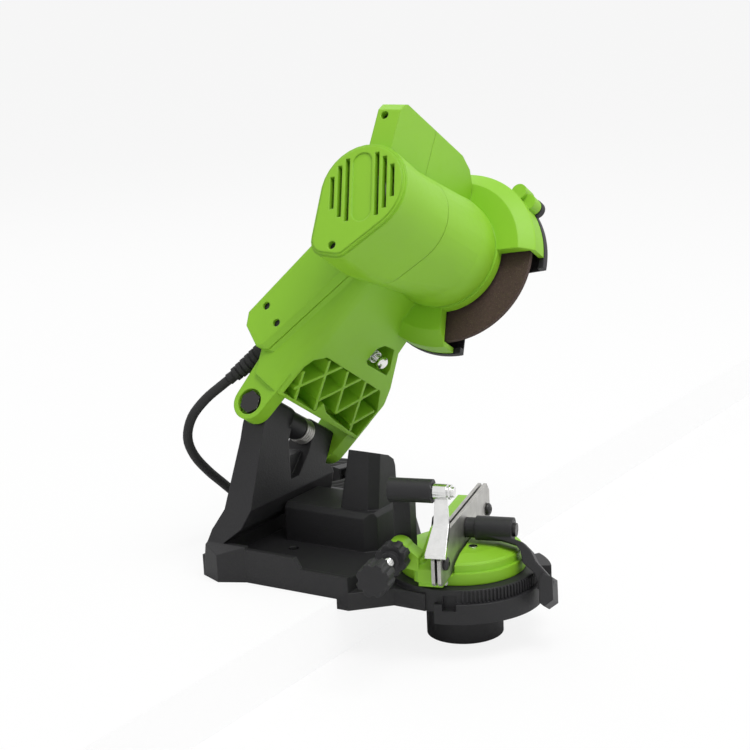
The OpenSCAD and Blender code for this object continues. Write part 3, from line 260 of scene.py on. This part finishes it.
def threaded(shape, place, start, end, radius, pitch, depth, sides=20):
    """A screw thread along the X axis of a place, in millimetres, with a chamfer at each end."""
    steps = max(2, round((end - start) / pitch * 5))
    rings = []
    for i in range(steps + 1):
        x = start + (end - start) * i / steps
        fade = min(1, (x - start) / pitch, (end - x) / pitch)
        points = []
        for k in range(sides):
            angle = math.tau * k / sides
            phase = (x / pitch - k / sides) % 1
            reach = radius - depth * (abs(2 * phase - 1) * fade + 1.2 * (1 - fade))
            points.append(place @ (Vector((x, reach * math.cos(angle), reach * math.sin(angle))) * MM))
        rings.append(points)
    skin(shape, rings)


def curve_through(points, steps):
    """A smooth line through points, without the last one."""
    line = []
    for i in range(len(points) - 1):
        before = points[max(i - 1, 0)]
        here, after = points[i], points[i + 1]
        beyond = points[min(i + 2, len(points) - 1)]
        for k in range(steps):
            t = k / steps
            line.append(0.5 * (
                2 * here + (after - before) * t
                + (2 * before - 5 * here + 4 * after - beyond) * t * t
                + (3 * here - before - 3 * after + beyond) * t * t * t))
    return line


def piece(name, shape, body, slot, *nodes, angle=40):
    """Puts a shape into the scene as a piece of a body, in place of the CAD nodes named."""
    bmesh.ops.recalc_face_normals(shape, faces=shape.faces)
    mesh = bpy.data.meshes.new(name)
    shape.to_mesh(mesh)
    shape.free()
    mesh.shade_smooth()
    mesh.set_sharp_from_angle(angle=math.radians(angle))
    mesh.materials.append(finish(slot))
    thing = bpy.data.objects.new(name, mesh)
    bpy.context.scene.collection.objects.link(thing)
    if body:
        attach(thing, body)
    if nodes:
        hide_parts(*nodes)
    return thing


# Finishes

class Amount:
    """A socket whose value changes over a surface. Sums written with it become Math nodes."""

    def __init__(self, recipe, socket):
        self.recipe = recipe
        self.socket = socket

    def _sum(self, operation, *terms):
        return self.recipe.add("ShaderNodeMath", {"operation": operation}, dict(enumerate(terms)))

    def __add__(self, other):
        return self._sum("ADD", self, other)

    def __sub__(self, other):
        return self._sum("SUBTRACT", self, other)

    def __rsub__(self, other):
        return self._sum("SUBTRACT", other, self)

    def __mul__(self, other):
        return self._sum("MULTIPLY", self, other)

    __radd__ = __add__
    __rmul__ = __mul__

    def over(self, low, high):
        """0 below low, 1 above high and a slope between."""
        return self.recipe.add(
            "ShaderNodeMapRange", {"clamp": True}, {"Value": self, "From Min": low, "From Max": high})


class Recipe:
    """The nodes of one finish."""

    def __init__(self, tree):
        self.tree = tree
        tree.nodes.clear()

    def add(self, kind, settings=None, inputs=None, output=0):
        """A node of that type: its settings first, then the value or link of each socket."""
        node = self.tree.nodes.new(kind)
        for name, setting in (settings or {}).items():
            setattr(node, name, setting)
        for name, value in (inputs or {}).items():
            if isinstance(value, Amount):
                self.tree.links.new(value.socket, node.inputs[name])
            else:
                node.inputs[name].default_value = value
        return Amount(self, node.outputs[output]) if node.outputs else node

    def place(self):
        """Where a point is on its own piece, in metres."""
        return self.add("ShaderNodeTexCoord", output="Object")

    def noise(self, size, detail=2.0, roughness=0.5, stretch=None, where=None):
        """Soft noise whose blotches are about size metres across; stretch draws it out along axes."""
        where = where or self.place()
        if stretch:
            where = self.add("ShaderNodeMapping", None, {"Vector": where, "Scale": stretch})
        return self.add(
            "ShaderNodeTexNoise", None,
            {"Vector": where, "Scale": 1 / size, "Detail": detail, "Roughness": roughness})

    def grains(self, size, output="Distance"):
        """Cells about size metres across."""
        return self.add(
            "ShaderNodeTexVoronoi", None, {"Vector": self.place(), "Scale": 1 / size}, output)

    def mixed(self, low, high, share):
        """A colour between two, by share."""
        colours = [value if isinstance(value, Amount) else (*value, 1) for value in (low, high)]
        return self.add(
            "ShaderNodeMix", {"data_type": "RGBA"}, {0: share, 6: colours[0], 7: colours[1]}, 2)

    def rounded(self, radius):
        """The surface's direction with its edges rounded to that radius in metres."""
        return self.add("ShaderNodeBevel", {"samples": 4}, {"Radius": radius})

    def edges(self, rounded, gain):
        """1 along rounded edges and 0 on flats."""
        true = self.add("ShaderNodeNewGeometry", output="True Normal")
        facing = self.add(
            "ShaderNodeVectorMath", {"operation": "DOT_PRODUCT"}, {0: rounded, 1: true}, "Value")
        return ((1 - facing) * gain).over(0, 1)

    def bumped(self, height, depth, normal=None):
        """The surface's direction with relief of that depth in metres."""
        inputs = {"Height": height, "Distance": depth}
        if normal:
            inputs["Normal"] = normal
        return self.add("ShaderNodeBump", None, inputs)

    def surface(self, **inputs):
        """The shader of the finish, with sockets named in words joined by _."""
        named = {
            name.replace("_", " ").title().replace("Ior", "IOR"): value
            for name, value in inputs.items()}
        shader = self.add("ShaderNodeBsdfPrincipled", None, {
            name: (*value, 1) if name == "Base Color" and not isinstance(value, Amount) else value
            for name, value in named.items()})
        self.add("ShaderNodeOutputMaterial", None, {"Surface": shader})


def shade(colour, factor):
    """A colour made lighter or darker."""
    return tuple(min(1, part * factor) for part in colour)


def colours():
    """The colours on the panel."""
    return bpy.context.scene.sharpener.colours


def moulded_green(recipe):
    """Satin ABS: fine spark-eroded grain, faint flow clouds and rubbed edges."""
    green = tuple(colours().green)
    rounded = recipe.rounded(0.0011)
    edge = recipe.edges(rounded, 5)
    cloud = recipe.noise(0.045, 3)
    grain = recipe.noise(0.00035, 3, 0.6)
    rub = recipe.noise(0.004, 4, 0.65).over(0.5, 0.66)
    base = recipe.mixed(shade(green, 0.93), shade(green, 1.05), cloud)
    worn = recipe.mixed(base, shade(green, 1.22), edge * (0.35 + rub * 0.4))
    recipe.surface(
        base_color=worn,
        roughness=0.40 + grain * 0.14 - edge * 0.08 + rub * 0.05,
        normal=recipe.bumped(grain, 0.00004, rounded),
        specular_ior_level=0.42)


def moulded_black(recipe):
    """Glass-filled nylon with a leather grain, paler where edges are rubbed."""
    black = tuple(colours().black)
    rounded = recipe.rounded(0.0012)
    edge = recipe.edges(rounded, 5)
    cells = recipe.grains(0.0011)
    speckle = recipe.noise(0.0004, 3, 0.6)
    cloud = recipe.noise(0.03, 3)
    base = recipe.mixed(shade(black, 0.8), shade(black, 1.35), cloud)
    rubbed = recipe.mixed(base, shade(black, 1.9), edge * (0.4 + speckle * 0.4))
    recipe.surface(
        base_color=rubbed,
        roughness=0.46 + speckle * 0.16 - edge * 0.08,
        normal=recipe.bumped(cells * 0.6 + speckle * 0.4, 0.0001, rounded),
        specular_ior_level=0.38)


def cord_rubber(recipe):
    """PVC sheath: almost smooth, with faint drawn lines and dust."""
    rubber = tuple(colours().rubber)
    dust = recipe.noise(0.006, 4, 0.6).over(0.45, 0.75)
    skin_grain = recipe.noise(0.0005, 2)
    recipe.surface(
        base_color=recipe.mixed(rubber, shade(rubber, 1.9), dust * 0.5),
        roughness=0.42 + dust * 0.16,
        normal=recipe.bumped(skin_grain, 0.00003, recipe.rounded(0.0004)))


def ground_steel(recipe):
    """Zinc-plated sheet: fine lines along the rail, blotches of plating and bright edges."""
    steel = tuple(colours().steel)
    rounded = recipe.rounded(0.0004)
    edge = recipe.edges(rounded, 6)
    along = recipe.add(
        "ShaderNodeMapping", {"vector_type": "POINT"},
        {"Vector": recipe.place(), "Rotation": (0, 0, math.radians(-VISE_TURN))})
    lines = recipe.noise(0.0016, 4, 0.7, (0.04, 1, 3), along)
    bloom = recipe.noise(0.009, 4, 0.6)
    spots = recipe.grains(0.003, output="Color")
    plated = recipe.mixed(shade(steel, 0.78), shade(steel, 1.12), bloom.over(0.3, 0.7))
    recipe.surface(
        base_color=recipe.mixed(plated, recipe.mixed(plated, shade(steel, 1.4), 0.8), edge),
        metallic=1.0,
        roughness=0.30 + lines * 0.16 + bloom * 0.08 + spots * 0.03,
        normal=recipe.bumped(lines, 0.00003, rounded))


def bright_plating(recipe):
    """Nickel plating with fine handling marks and a soft bloom."""
    bright = tuple(colours().chrome)
    rounded = recipe.rounded(0.0004)
    haze = recipe.noise(0.005, 4, 0.6)
    marks = recipe.noise(0.0012, 4, 0.7, (1, 0.2, 1)).over(0.58, 0.74)
    recipe.surface(
        base_color=recipe.mixed(bright, shade(bright, 0.82), haze.over(0.35, 0.75) * 0.6 + marks * 0.3),
        metallic=1.0,
        roughness=0.13 + haze * 0.10 + marks * 0.12,
        normal=recipe.bumped(marks, 0.00002, rounded))


def blackened_steel(recipe):
    """Black oxide: dark satin with bare metal on the corners."""
    dark = tuple(colours().dark)
    rounded = recipe.rounded(0.0005)
    edge = recipe.edges(rounded, 6)
    chips = recipe.noise(0.0016, 4, 0.7).over(0.5, 0.62)
    bare = edge * chips
    recipe.surface(
        base_color=recipe.mixed(dark, (0.32, 0.31, 0.30), bare),
        metallic=bare * 0.6 + 0.35,
        roughness=0.36 + chips * 0.12 - bare * 0.08,
        normal=recipe.bumped(chips, 0.00002, rounded))


def bonded_grit(recipe):
    """Grinding wheel: bonded grains in brown resin, with pores darkened as painted shade, and pale
    crystals.
    """
    brown = tuple(colours().abrasive)
    grit = recipe.grains(0.0004)
    tone = recipe.grains(0.0004, output="Color")
    pores = recipe.noise(0.0009, 4, 0.7).over(0.56, 0.66)
    wear = recipe.noise(0.02, 3)
    base = recipe.mixed(shade(brown, 0.7), shade(brown, 1.35), tone * 0.6 + wear * 0.4)
    crystal = recipe.mixed(base, (0.16, 0.11, 0.085), tone.over(0.86, 0.94) * 0.35)
    recipe.surface(
        # Painted shade: the pores are mixed towards a much darker brown, as the shade inside the hollows.
        base_color=recipe.mixed(crystal, shade(brown, 0.4), pores * 0.7),
        roughness=0.86 - tone.over(0.8, 0.9) * 0.3,
        normal=recipe.bumped(grit * 0.7 - pores * 0.5, 0.0003, recipe.rounded(0.0005)))


def copper_wire(recipe):
    """Enamelled copper, with painted shade that makes it darker between the strands."""
    copper = tuple(colours().copper)
    strands = recipe.noise(0.0008, 2, 0.5, (0.15, 1, 1))
    recipe.surface(
        # Painted shade: the colour drops to half between the strands, where the windings shade each other.
        base_color=recipe.mixed(shade(copper, 0.5), shade(copper, 1.1), strands.over(0.35, 0.6)),
        metallic=0.9,
        roughness=0.28 + strands * 0.2,
        normal=recipe.bumped(strands, 0.0002))


def printed_white(recipe):
    """White moulded pointer with a little dirt."""
    white = tuple(colours().white)
    dirt = recipe.noise(0.0015, 4, 0.6).over(0.5, 0.75)
    recipe.surface(
        base_color=recipe.mixed(white, shade(white, 0.7), dirt * 0.6),
        roughness=0.45 + dirt * 0.2,
        normal=recipe.bumped(dirt, 0.00003, recipe.rounded(0.0003)))


FINISHES = {
    "green_plastic": moulded_green,
    "black_plastic": moulded_black,
    "cord_rubber": cord_rubber,
    "plate_steel": ground_steel,
    "chrome": bright_plating,
    "dark_steel": blackened_steel,
    "abrasive": bonded_grit,
    "copper": copper_wire,
    "white_plastic": printed_white,
}

NODE_FINISHES = {
    "green_plastic": ("housing", "motor_cover", "turntable"),
    "black_plastic": (
        "base", "fan", "clamp_knob", "pawl_carrier", "star_knob", "lock_knob", "wheel_cover",
        "brush_holders", "cable_clamp", "switch_frame", "switch_rocker", "cord_tie", "clamp_lever"),
    "cord_rubber": ("cord", "cord_coil", "plug", "strain_relief"),
    "plate_steel": (
        "rail_plate_rear", "rail_plate_front", "inner_flange", "outer_flange", "spindle", "rotor",
        "rear_bearing", "front_bearing", "pivot_stud", "hinge_nut", "wheel_nut"),
    "chrome": (
        "pawl", "pawl_pin", "pin_clip", "adjusting_screw", "depth_screw", "dome_screw", "plug_pins"),
    "dark_steel": ("hinge_bolt", "clamp_bolt", "rail_screws", "cover_screws", "return_spring"),
    "abrasive": ("grinding_wheel",),
    "copper": ("stator", "commutator"),
    "white_plastic": ("scale_pointer",),
}


def finish(slot):
    """The material of a slot, made the first time that it is asked for."""
    name = FINISHES[slot].__name__
    material = bpy.data.materials.get(name)
    if material is None:
        material = bpy.data.materials.new(name)
        material.use_nodes = True
        FINISHES[slot](Recipe(material.node_tree))
    return material


# Steps

class SHARPENER_OT_camera(bpy.types.Operator):
    """Stand the camera where the photograph was taken"""
    bl_idname = "sharpener.camera"
    bl_label = "Place camera"

    def execute(self, context):
        sizes = context.scene.sharpener.camera
        azimuth, elevation, roll = (
            math.radians(angle) for angle in (sizes.azimuth, sizes.elevation, sizes.roll))
        back = Vector((
            math.sin(azimuth) * math.cos(elevation),
            -math.cos(azimuth) * math.cos(elevation),
            math.sin(elevation)))
        level = Vector((math.cos(azimuth), math.sin(azimuth), 0))
        upright = back.cross(level)
        right = math.cos(roll) * level + math.sin(roll) * upright
        up = math.cos(roll) * upright - math.sin(roll) * level
        spot = sizes.distance * back - sizes.aside * right + sizes.above * up
        data = bpy.data.cameras.new("camera")
        data.sensor_width = 36
        data.lens = sizes.lens
        data.clip_end = 50
        camera = bpy.data.objects.new("camera", data)
        axes = Matrix((right, up, back)).transposed().to_4x4()
        camera.matrix_world = MACHINE @ Matrix.Translation(spot) @ axes
        context.scene.collection.objects.link(camera)
        context.scene.camera = camera
        return {"FINISHED"}


# Route of the cord's free stretch, in millimetres from the vise axis, as in the part's source
CORD_ROUTE = (
    (-29.05, 142.5, 113.45), (-31.1, 146.5, 110.1), (-36, 156, 101.5), (-39, 165, 90), (-37, 171, 76),
    (-28, 174, 62), (-14, 175, 48), (2, 176, 35), (18, 177, 22), (33, 180, 11.5), (48, 187.5, 5.4),
    (61, 194.5, 4.2))
COIL_MIDDLE = Vector((105, 170, 4.2))
COIL_START = 120
COIL_STEP = 6.5
COIL_LEAD = 36


def coil_point(turns, sizes):
    """A point of the coil after some turns: inward in the lower layer, outward in the upper one."""
    middle = sizes.loops / 2
    inward = turns if turns < middle else sizes.loops - turns
    reach = sizes.coil_radius / MM - COIL_STEP * inward
    lift = min(1, max(0, 2 * (turns - middle) + 0.5))
    angle = math.radians(COIL_START) - math.tau * turns
    return COIL_MIDDLE + Vector((reach * math.cos(angle), reach * math.sin(angle), COIL_STEP * lift))


def cord_path(sizes):
    """The whole line of the cord, in millimetres from the vise axis."""
    way = Vector((math.sin(math.radians(COIL_START)), -math.cos(math.radians(COIL_START)), 0))
    width = sizes.diameter / MM
    into = coil_point(0, sizes) - width * way
    steps = sizes.loops * 24
    path = curve_through([Vector(point) for point in CORD_ROUTE], 4)
    path += [into - width * way, into]
    path += [coil_point(i / 24, sizes) for i in range(steps + 1)]
    last = path[-1]
    return path + [last + COIL_LEAD * share * way for share in (0.25, 0.5, 0.75, 1)]


class SHARPENER_OT_cord(bpy.types.Operator):
    """Lay the mains cord from the strain relief down to its coil, and mould the plug"""
    bl_idname = "sharpener.cord"
    bl_label = "Lay cord"

    def execute(self, context):
        sizes = context.scene.sharpener.cord
        line = cord_path(sizes)
        path = [MACHINE @ (point * MM) for point in line]
        shape = bmesh.new()
        tube(shape, path, sizes.diameter / 2, sizes.sides)
        cord = piece("mains_cord", shape, None, "cord_rubber", "cord", "cord_coil")
        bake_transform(cord)
        plug = self.plug(line[-1])
        return {"FINISHED"}

    def plug(self, end):
        """A moulded plug: ribbed neck, waisted grip and a flat face for the pins."""
        place = MACHINE @ moved(*end) @ turned(COIL_START - 90, "Z")
        sections = [(0, 4.4, 4.4, 2)]
        for rib in range(3):
            x = 1 + rib * 3
            sections += [
                (x, 4.5, 4.5, 2), (x + 1.4, 4.5, 4.5, 2), (x + 1.7, 3.9, 3.9, 2), (x + 2.7, 3.9, 3.9, 2)]
        sections += [
            (10, 7.2, 6.4, 2.2), (11, 10.4, 7.8, 2.6), (13, 12.2, 8.6, 3.2), (18, 11.3, 8.2, 3.4),
            (25, 11.6, 8.4, 3.6), (30, 12.6, 8.8, 4), (34.6, 12.9, 8.9, 4.4), (35.6, 12.5, 8.5, 4.4),
            (36, 11.8, 7.8, 4.4)]
        rings = []
        for x, half_y, half_z, power in sections:
            points = []
            for k in range(48):
                c, s = math.cos(math.tau * k / 48), math.sin(math.tau * k / 48)
                points.append(place @ (Vector((
                    x,
                    half_y * math.copysign(abs(c) ** (2 / power), c),
                    half_z * math.copysign(abs(s) ** (2 / power), s))) * MM))
            rings.append(points)
        shape = bmesh.new()
        skin(shape, rings)
        return piece("moulded_plug", shape, "base", "cord_rubber", "plug", angle=50)


class SHARPENER_OT_springs(bpy.types.Operator):
    """Wind the return spring on the hinge and the spring round the depth screw"""
    bl_idname = "sharpener.springs"
    bl_label = "Wind springs"

    # Metres along the hinge and along the depth screw
    boss_end = 0.0059
    depth_start, depth_radius, depth_pitch, depth_turns = -0.0124, 0.0037, 0.0019, 6

    def execute(self, context):
        sizes = context.scene.sharpener.spring
        shape = bmesh.new()
        start = self.boss_end + sizes.wire
        line = helix(HEAD, start, sizes.radius, sizes.pitch, sizes.turns)
        tube(shape, line, sizes.wire, 12)
        piece("wound_return_spring", shape, "base", "plate_steel", "return_spring")
        shape = bmesh.new()
        line = helix(
            DEPTH_SCREW, self.depth_start, self.depth_radius, self.depth_pitch, self.depth_turns)
        tube(shape, line, sizes.depth_wire, 10)
        piece("depth_spring", shape, "depth", "chrome")
        return {"FINISHED"}


class SHARPENER_OT_threads(bpy.types.Operator):
    """Cut the threads of the adjusting screw and the depth screw"""
    bl_idname = "sharpener.threads"
    bl_label = "Cut threads"

    def execute(self, context):
        sizes = context.scene.sharpener.thread
        pitch, depth = sizes.pitch / MM, sizes.depth / MM
        shape = bmesh.new()
        threaded(shape, ADJUSTING_SCREW, -90, -27, 3.1, pitch, depth)
        piece("adjusting_thread", shape, "screw", "chrome", "adjusting_screw", angle=60)

        shape = bmesh.new()
        threaded(shape, DEPTH_SCREW, -17, 33, 2.5, pitch * 0.8, depth * 0.8)
        lathe(shape, DEPTH_SCREW, [
            (-20, 2.2), (-19.6, 3.1), (-18.8, 3.8), (-17.6, 4), (-17, 4, 6), (-16.2, 4, 6), (-16, 3.4)])
        knob = [(32, 3.5), (35, 3.5), (35, 6.2), (35.6, 6.9)]
        knob += [(36 + 0.5 * i, 7 - 0.25 * (i % 2)) for i in range(14)]
        knob += [(43, 5.5), (42.4, 2.6)]
        lathe(shape, DEPTH_SCREW, knob, 60)
        piece("depth_thread", shape, "depth", "chrome", "depth_screw")
        return {"FINISHED"}


class SHARPENER_OT_screws(bpy.types.Operator):
    """Fit the button-head rail screws and the guard screw, each with its key socket"""
    bl_idname = "sharpener.screws"
    bl_label = "Fit screws"

    button = (
        (0.5, 3.6), (0, 3.95), (-0.6, 4), (-1.3, 3.7), (-1.9, 3.0), (-2.3, 2.2), (-2.4, 1.9),
        (-2.35, 1.45, 6), (-1.0, 1.4, 6))
    rail_x, rail_y, rail_z = 50, -3.1, 26
    guard_x, guard_reach, guard_angle = 27, 58.4, 135

    def execute(self, context):
        shape = bmesh.new()
        for side in (-1, 1):
            place = VISE @ moved(side * self.rail_x, self.rail_y, self.rail_z) @ ALONG_Y
            lathe(shape, place, ((7, 1.8),) + ((0.5, 1.8),) + self.button, 48)
        piece("button_screws", shape, "vise", "dark_steel", "rail_screws")

        shape = bmesh.new()
        boss = math.radians(self.guard_angle)
        y, z = self.guard_reach * math.cos(boss), self.guard_reach * math.sin(boss)
        place = MOTOR @ moved(self.guard_x, y, z) @ turned(180, "Z")
        lathe(shape, place, self.button, 48)
        piece("guard_screw", shape, "head", "dark_steel")
        return {"FINISHED"}


class SHARPENER_OT_ribs(bpy.types.Operator):
    """Stand the fine ribs round the front of the turntable's drum"""
    bl_idname = "sharpener.ribs"
    bl_label = "Stand drum ribs"

    first, step, count = -151, 3, 30
    half, foot, crest, low, high = 0.55, 43.8, 45.0, -0.4, 7.2
    shoulder, top_rise, top_drop = 0.3, 1, 0.7

    def execute(self, context):
        shape = bmesh.new()
        for i in range(self.count):
            place = MACHINE @ turned(self.first + self.step * i, "Z")
            rings = []
            for z, drop in (
                    (self.low, 0), (self.high - self.top_rise, 0), (self.high, self.top_drop)):
                crest = self.crest - drop
                side, edge = crest - self.shoulder, self.half * 0.4
                rings.append([place @ (Vector(point) * MM) for point in (
                    (self.foot, -self.half, z), (side, -self.half, z), (crest, -edge, z),
                    (crest, edge, z), (side, self.half, z), (self.foot, self.half, z))])
            skin(shape, rings)
        piece("drum_ribs", shape, "base", "black_plastic")
        return {"FINISHED"}


class SHARPENER_OT_finishes(bpy.types.Operator):
    """Give each CAD part its finish"""
    bl_idname = "sharpener.finishes"
    bl_label = "Apply finishes"

    # Parts whose round faces come as flat strips, and the bend in degrees that stays a crease
    curved = ("housing", "motor_cover", "pawl")
    crease = 27

    def execute(self, context):
        for slot, nodes in NODE_FINISHES.items():
            for node in nodes:
                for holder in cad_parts[node].material_slots:
                    holder.material = finish(slot)
        for node in self.curved:
            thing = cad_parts[node]
            thing.modifiers.new("soft_shading", "NODES").node_group = self.soft_shading()
            thing.modifiers.new("flat_faces", "WEIGHTED_NORMAL").keep_sharp = True
        return {"FINISHED"}

    def soft_shading(self):
        """Shades the strips of a round face as one, and keeps the creases between faces."""
        group = bpy.data.node_groups.get("soft_shading")
        if group:
            return group
        group = bpy.data.node_groups.new("soft_shading", "GeometryNodeTree")
        for side in ("INPUT", "OUTPUT"):
            group.interface.new_socket("Geometry", in_out=side, socket_type="NodeSocketGeometry")
        recipe = Recipe(group)
        mesh = recipe.add("NodeGroupInput")
        mesh = recipe.add("GeometryNodeMergeByDistance", None, {"Geometry": mesh, "Distance": 2e-6})
        mesh = recipe.add("GeometryNodeRemoveAttribute", None, {"Geometry": mesh, "Name": "custom_normal"})
        mesh = recipe.add(
            "GeometryNodeSetShadeSmooth", {"domain": "FACE"}, {"Geometry": mesh, "Shade Smooth": True})
        bend = recipe.add("GeometryNodeInputMeshEdgeAngle")
        sharp = recipe.add(
            "FunctionNodeCompare", {"data_type": "FLOAT", "operation": "GREATER_THAN"},
            {0: bend, 1: math.radians(self.crease)})
        mesh = recipe.add(
            "GeometryNodeSetShadeSmooth", {"domain": "EDGE"},
            {"Geometry": mesh, "Selection": sharp, "Shade Smooth": False})
        recipe.add("NodeGroupOutput", None, {"Geometry": mesh})
        return group


class SHARPENER_OT_stage(bpy.types.Operator):
    """Set the bench, the floor in front of it and the studio light"""
    bl_idname = "sharpener.stage"
    bl_label = "Set stage"

    # Name, size and place of each lamp, and where they point, in metres
    lamps = (
        ("key", 0.9, (-0.12, -0.62, 1.55)),
        ("fill", 1.0, (1.2, -1.1, 0.5)),
        ("rim", 0.9, (0.6, 1.1, 1.2)))
    aim = (0, -0.02, 0.12)
    bench_top = -0.0002
    whiteness = 0.86

    def execute(self, context):
        sizes = context.scene.sharpener.stage
        self.bench(context, sizes)
        self.room(context, sizes)
        for name, size, spot in self.lamps:
            self.lamp(context, name, getattr(sizes, name), size, Vector(spot), Vector(self.aim))
        context.scene.view_settings.view_transform = "Standard"
        return {"FINISHED"}

    def bench(self, context, sizes):
        """A pale bench face whose edge the machine hooks over, and a pale floor below it."""
        far, low, top = sizes.spread, -sizes.drop, self.bench_top
        shape = bmesh.new()
        rows = [
            [shape.verts.new((x, y, z)) for x in (-far, far)]
            for y, z in ((-far, low), (BENCH_EDGE, low), (BENCH_EDGE, top), (far, top))]
        for near, back in zip(rows, rows[1:]):
            shape.faces.new((near[0], near[1], back[1], back[0]))
        mesh = bpy.data.meshes.new("bench")
        shape.to_mesh(mesh)
        shape.free()
        material = bpy.data.materials.new("pale_floor")
        material.use_nodes = True
        recipe = Recipe(material.node_tree)
        fleck = recipe.noise(0.02, 3)
        plain = recipe.add("ShaderNodeBsdfDiffuse", None, {
            "Color": recipe.mixed(shade(sizes.floor, 0.99), shade(sizes.floor, 1.01), fleck)})
        white = recipe.add("ShaderNodeEmission", None, {"Color": (1, 1, 1, 1), "Strength": 1.0})
        seen = recipe.add("ShaderNodeLightPath", output="Is Camera Ray")
        shader = recipe.add("ShaderNodeMixShader", None, {0: seen * self.whiteness, 1: plain, 2: white})
        recipe.add("ShaderNodeOutputMaterial", None, {"Surface": shader})
        mesh.materials.append(material)
        bench = bpy.data.objects.new("bench", mesh)
        context.scene.collection.objects.link(bench)

    def room(self, context, sizes):
        """Even light from all round, white where the camera and reflections see it."""
        world = bpy.data.worlds.new("room")
        world.use_nodes = True
        context.scene.world = world
        recipe = Recipe(world.node_tree)
        camera, glossy, clear = (
            recipe.add("ShaderNodeLightPath", output=f"Is {kind} Ray")
            for kind in ("Camera", "Glossy", "Transmission"))
        seen = (camera + glossy + clear).over(0, 1)
        light = recipe.add("ShaderNodeBackground", None, {
            "Color": (1, 1, 1, 1), "Strength": sizes.sky + seen * (1 - sizes.sky)})
        recipe.add("ShaderNodeOutputWorld", None, {"Surface": light})

    def lamp(self, context, name, power, size, spot, aim):
        """A square lamp that faces the machine."""
        data = bpy.data.lights.new(name, "AREA")
        data.energy = power
        data.size = size
        lamp = bpy.data.objects.new(name, data)
        lamp.location = spot
        lamp.rotation_euler = (aim - spot).to_track_quat("-Z", "Y").to_euler()
        context.scene.collection.objects.link(lamp)


STEPS = (
    SHARPENER_OT_camera, SHARPENER_OT_cord, SHARPENER_OT_springs, SHARPENER_OT_threads,
    SHARPENER_OT_screws, SHARPENER_OT_ribs, SHARPENER_OT_finishes, SHARPENER_OT_stage)


class SHARPENER_PT_panel(bpy.types.Panel):
    """Steps of the dressing, and the sizes and colours that they use"""
    bl_idname = "SHARPENER_PT_panel"
    bl_label = "Chain sharpener"
    bl_space_type = "VIEW_3D"
    bl_region_type = "UI"
    bl_category = "Sharpener"

    def draw(self, context):
        settings = context.scene.sharpener
        for step in STEPS:
            self.layout.operator(step.bl_idname)
        for part in settings.__annotations__:
            group = getattr(settings, part)
            box = self.layout.box()
            for name in group.__annotations__:
                box.prop(group, name)


CLASSES = (
    CameraSizes, CordSizes, SpringSizes, ThreadSizes, FinishColours, StageSizes, Sharpener,
    *STEPS, SHARPENER_PT_panel)


def register():
    for kind in CLASSES:
        bpy.utils.register_class(kind)
    bpy.types.Scene.sharpener = bpy.props.PointerProperty(type=Sharpener)


def unregister():
    del bpy.types.Scene.sharpener
    for kind in reversed(CLASSES):
        bpy.utils.unregister_class(kind)


def main():
    """Runs each step in order."""
    register()
    for step in STEPS:
        area, name = step.bl_idname.split(".")
        getattr(getattr(bpy.ops, area), name)()


if __name__ == "__main__":
    main()
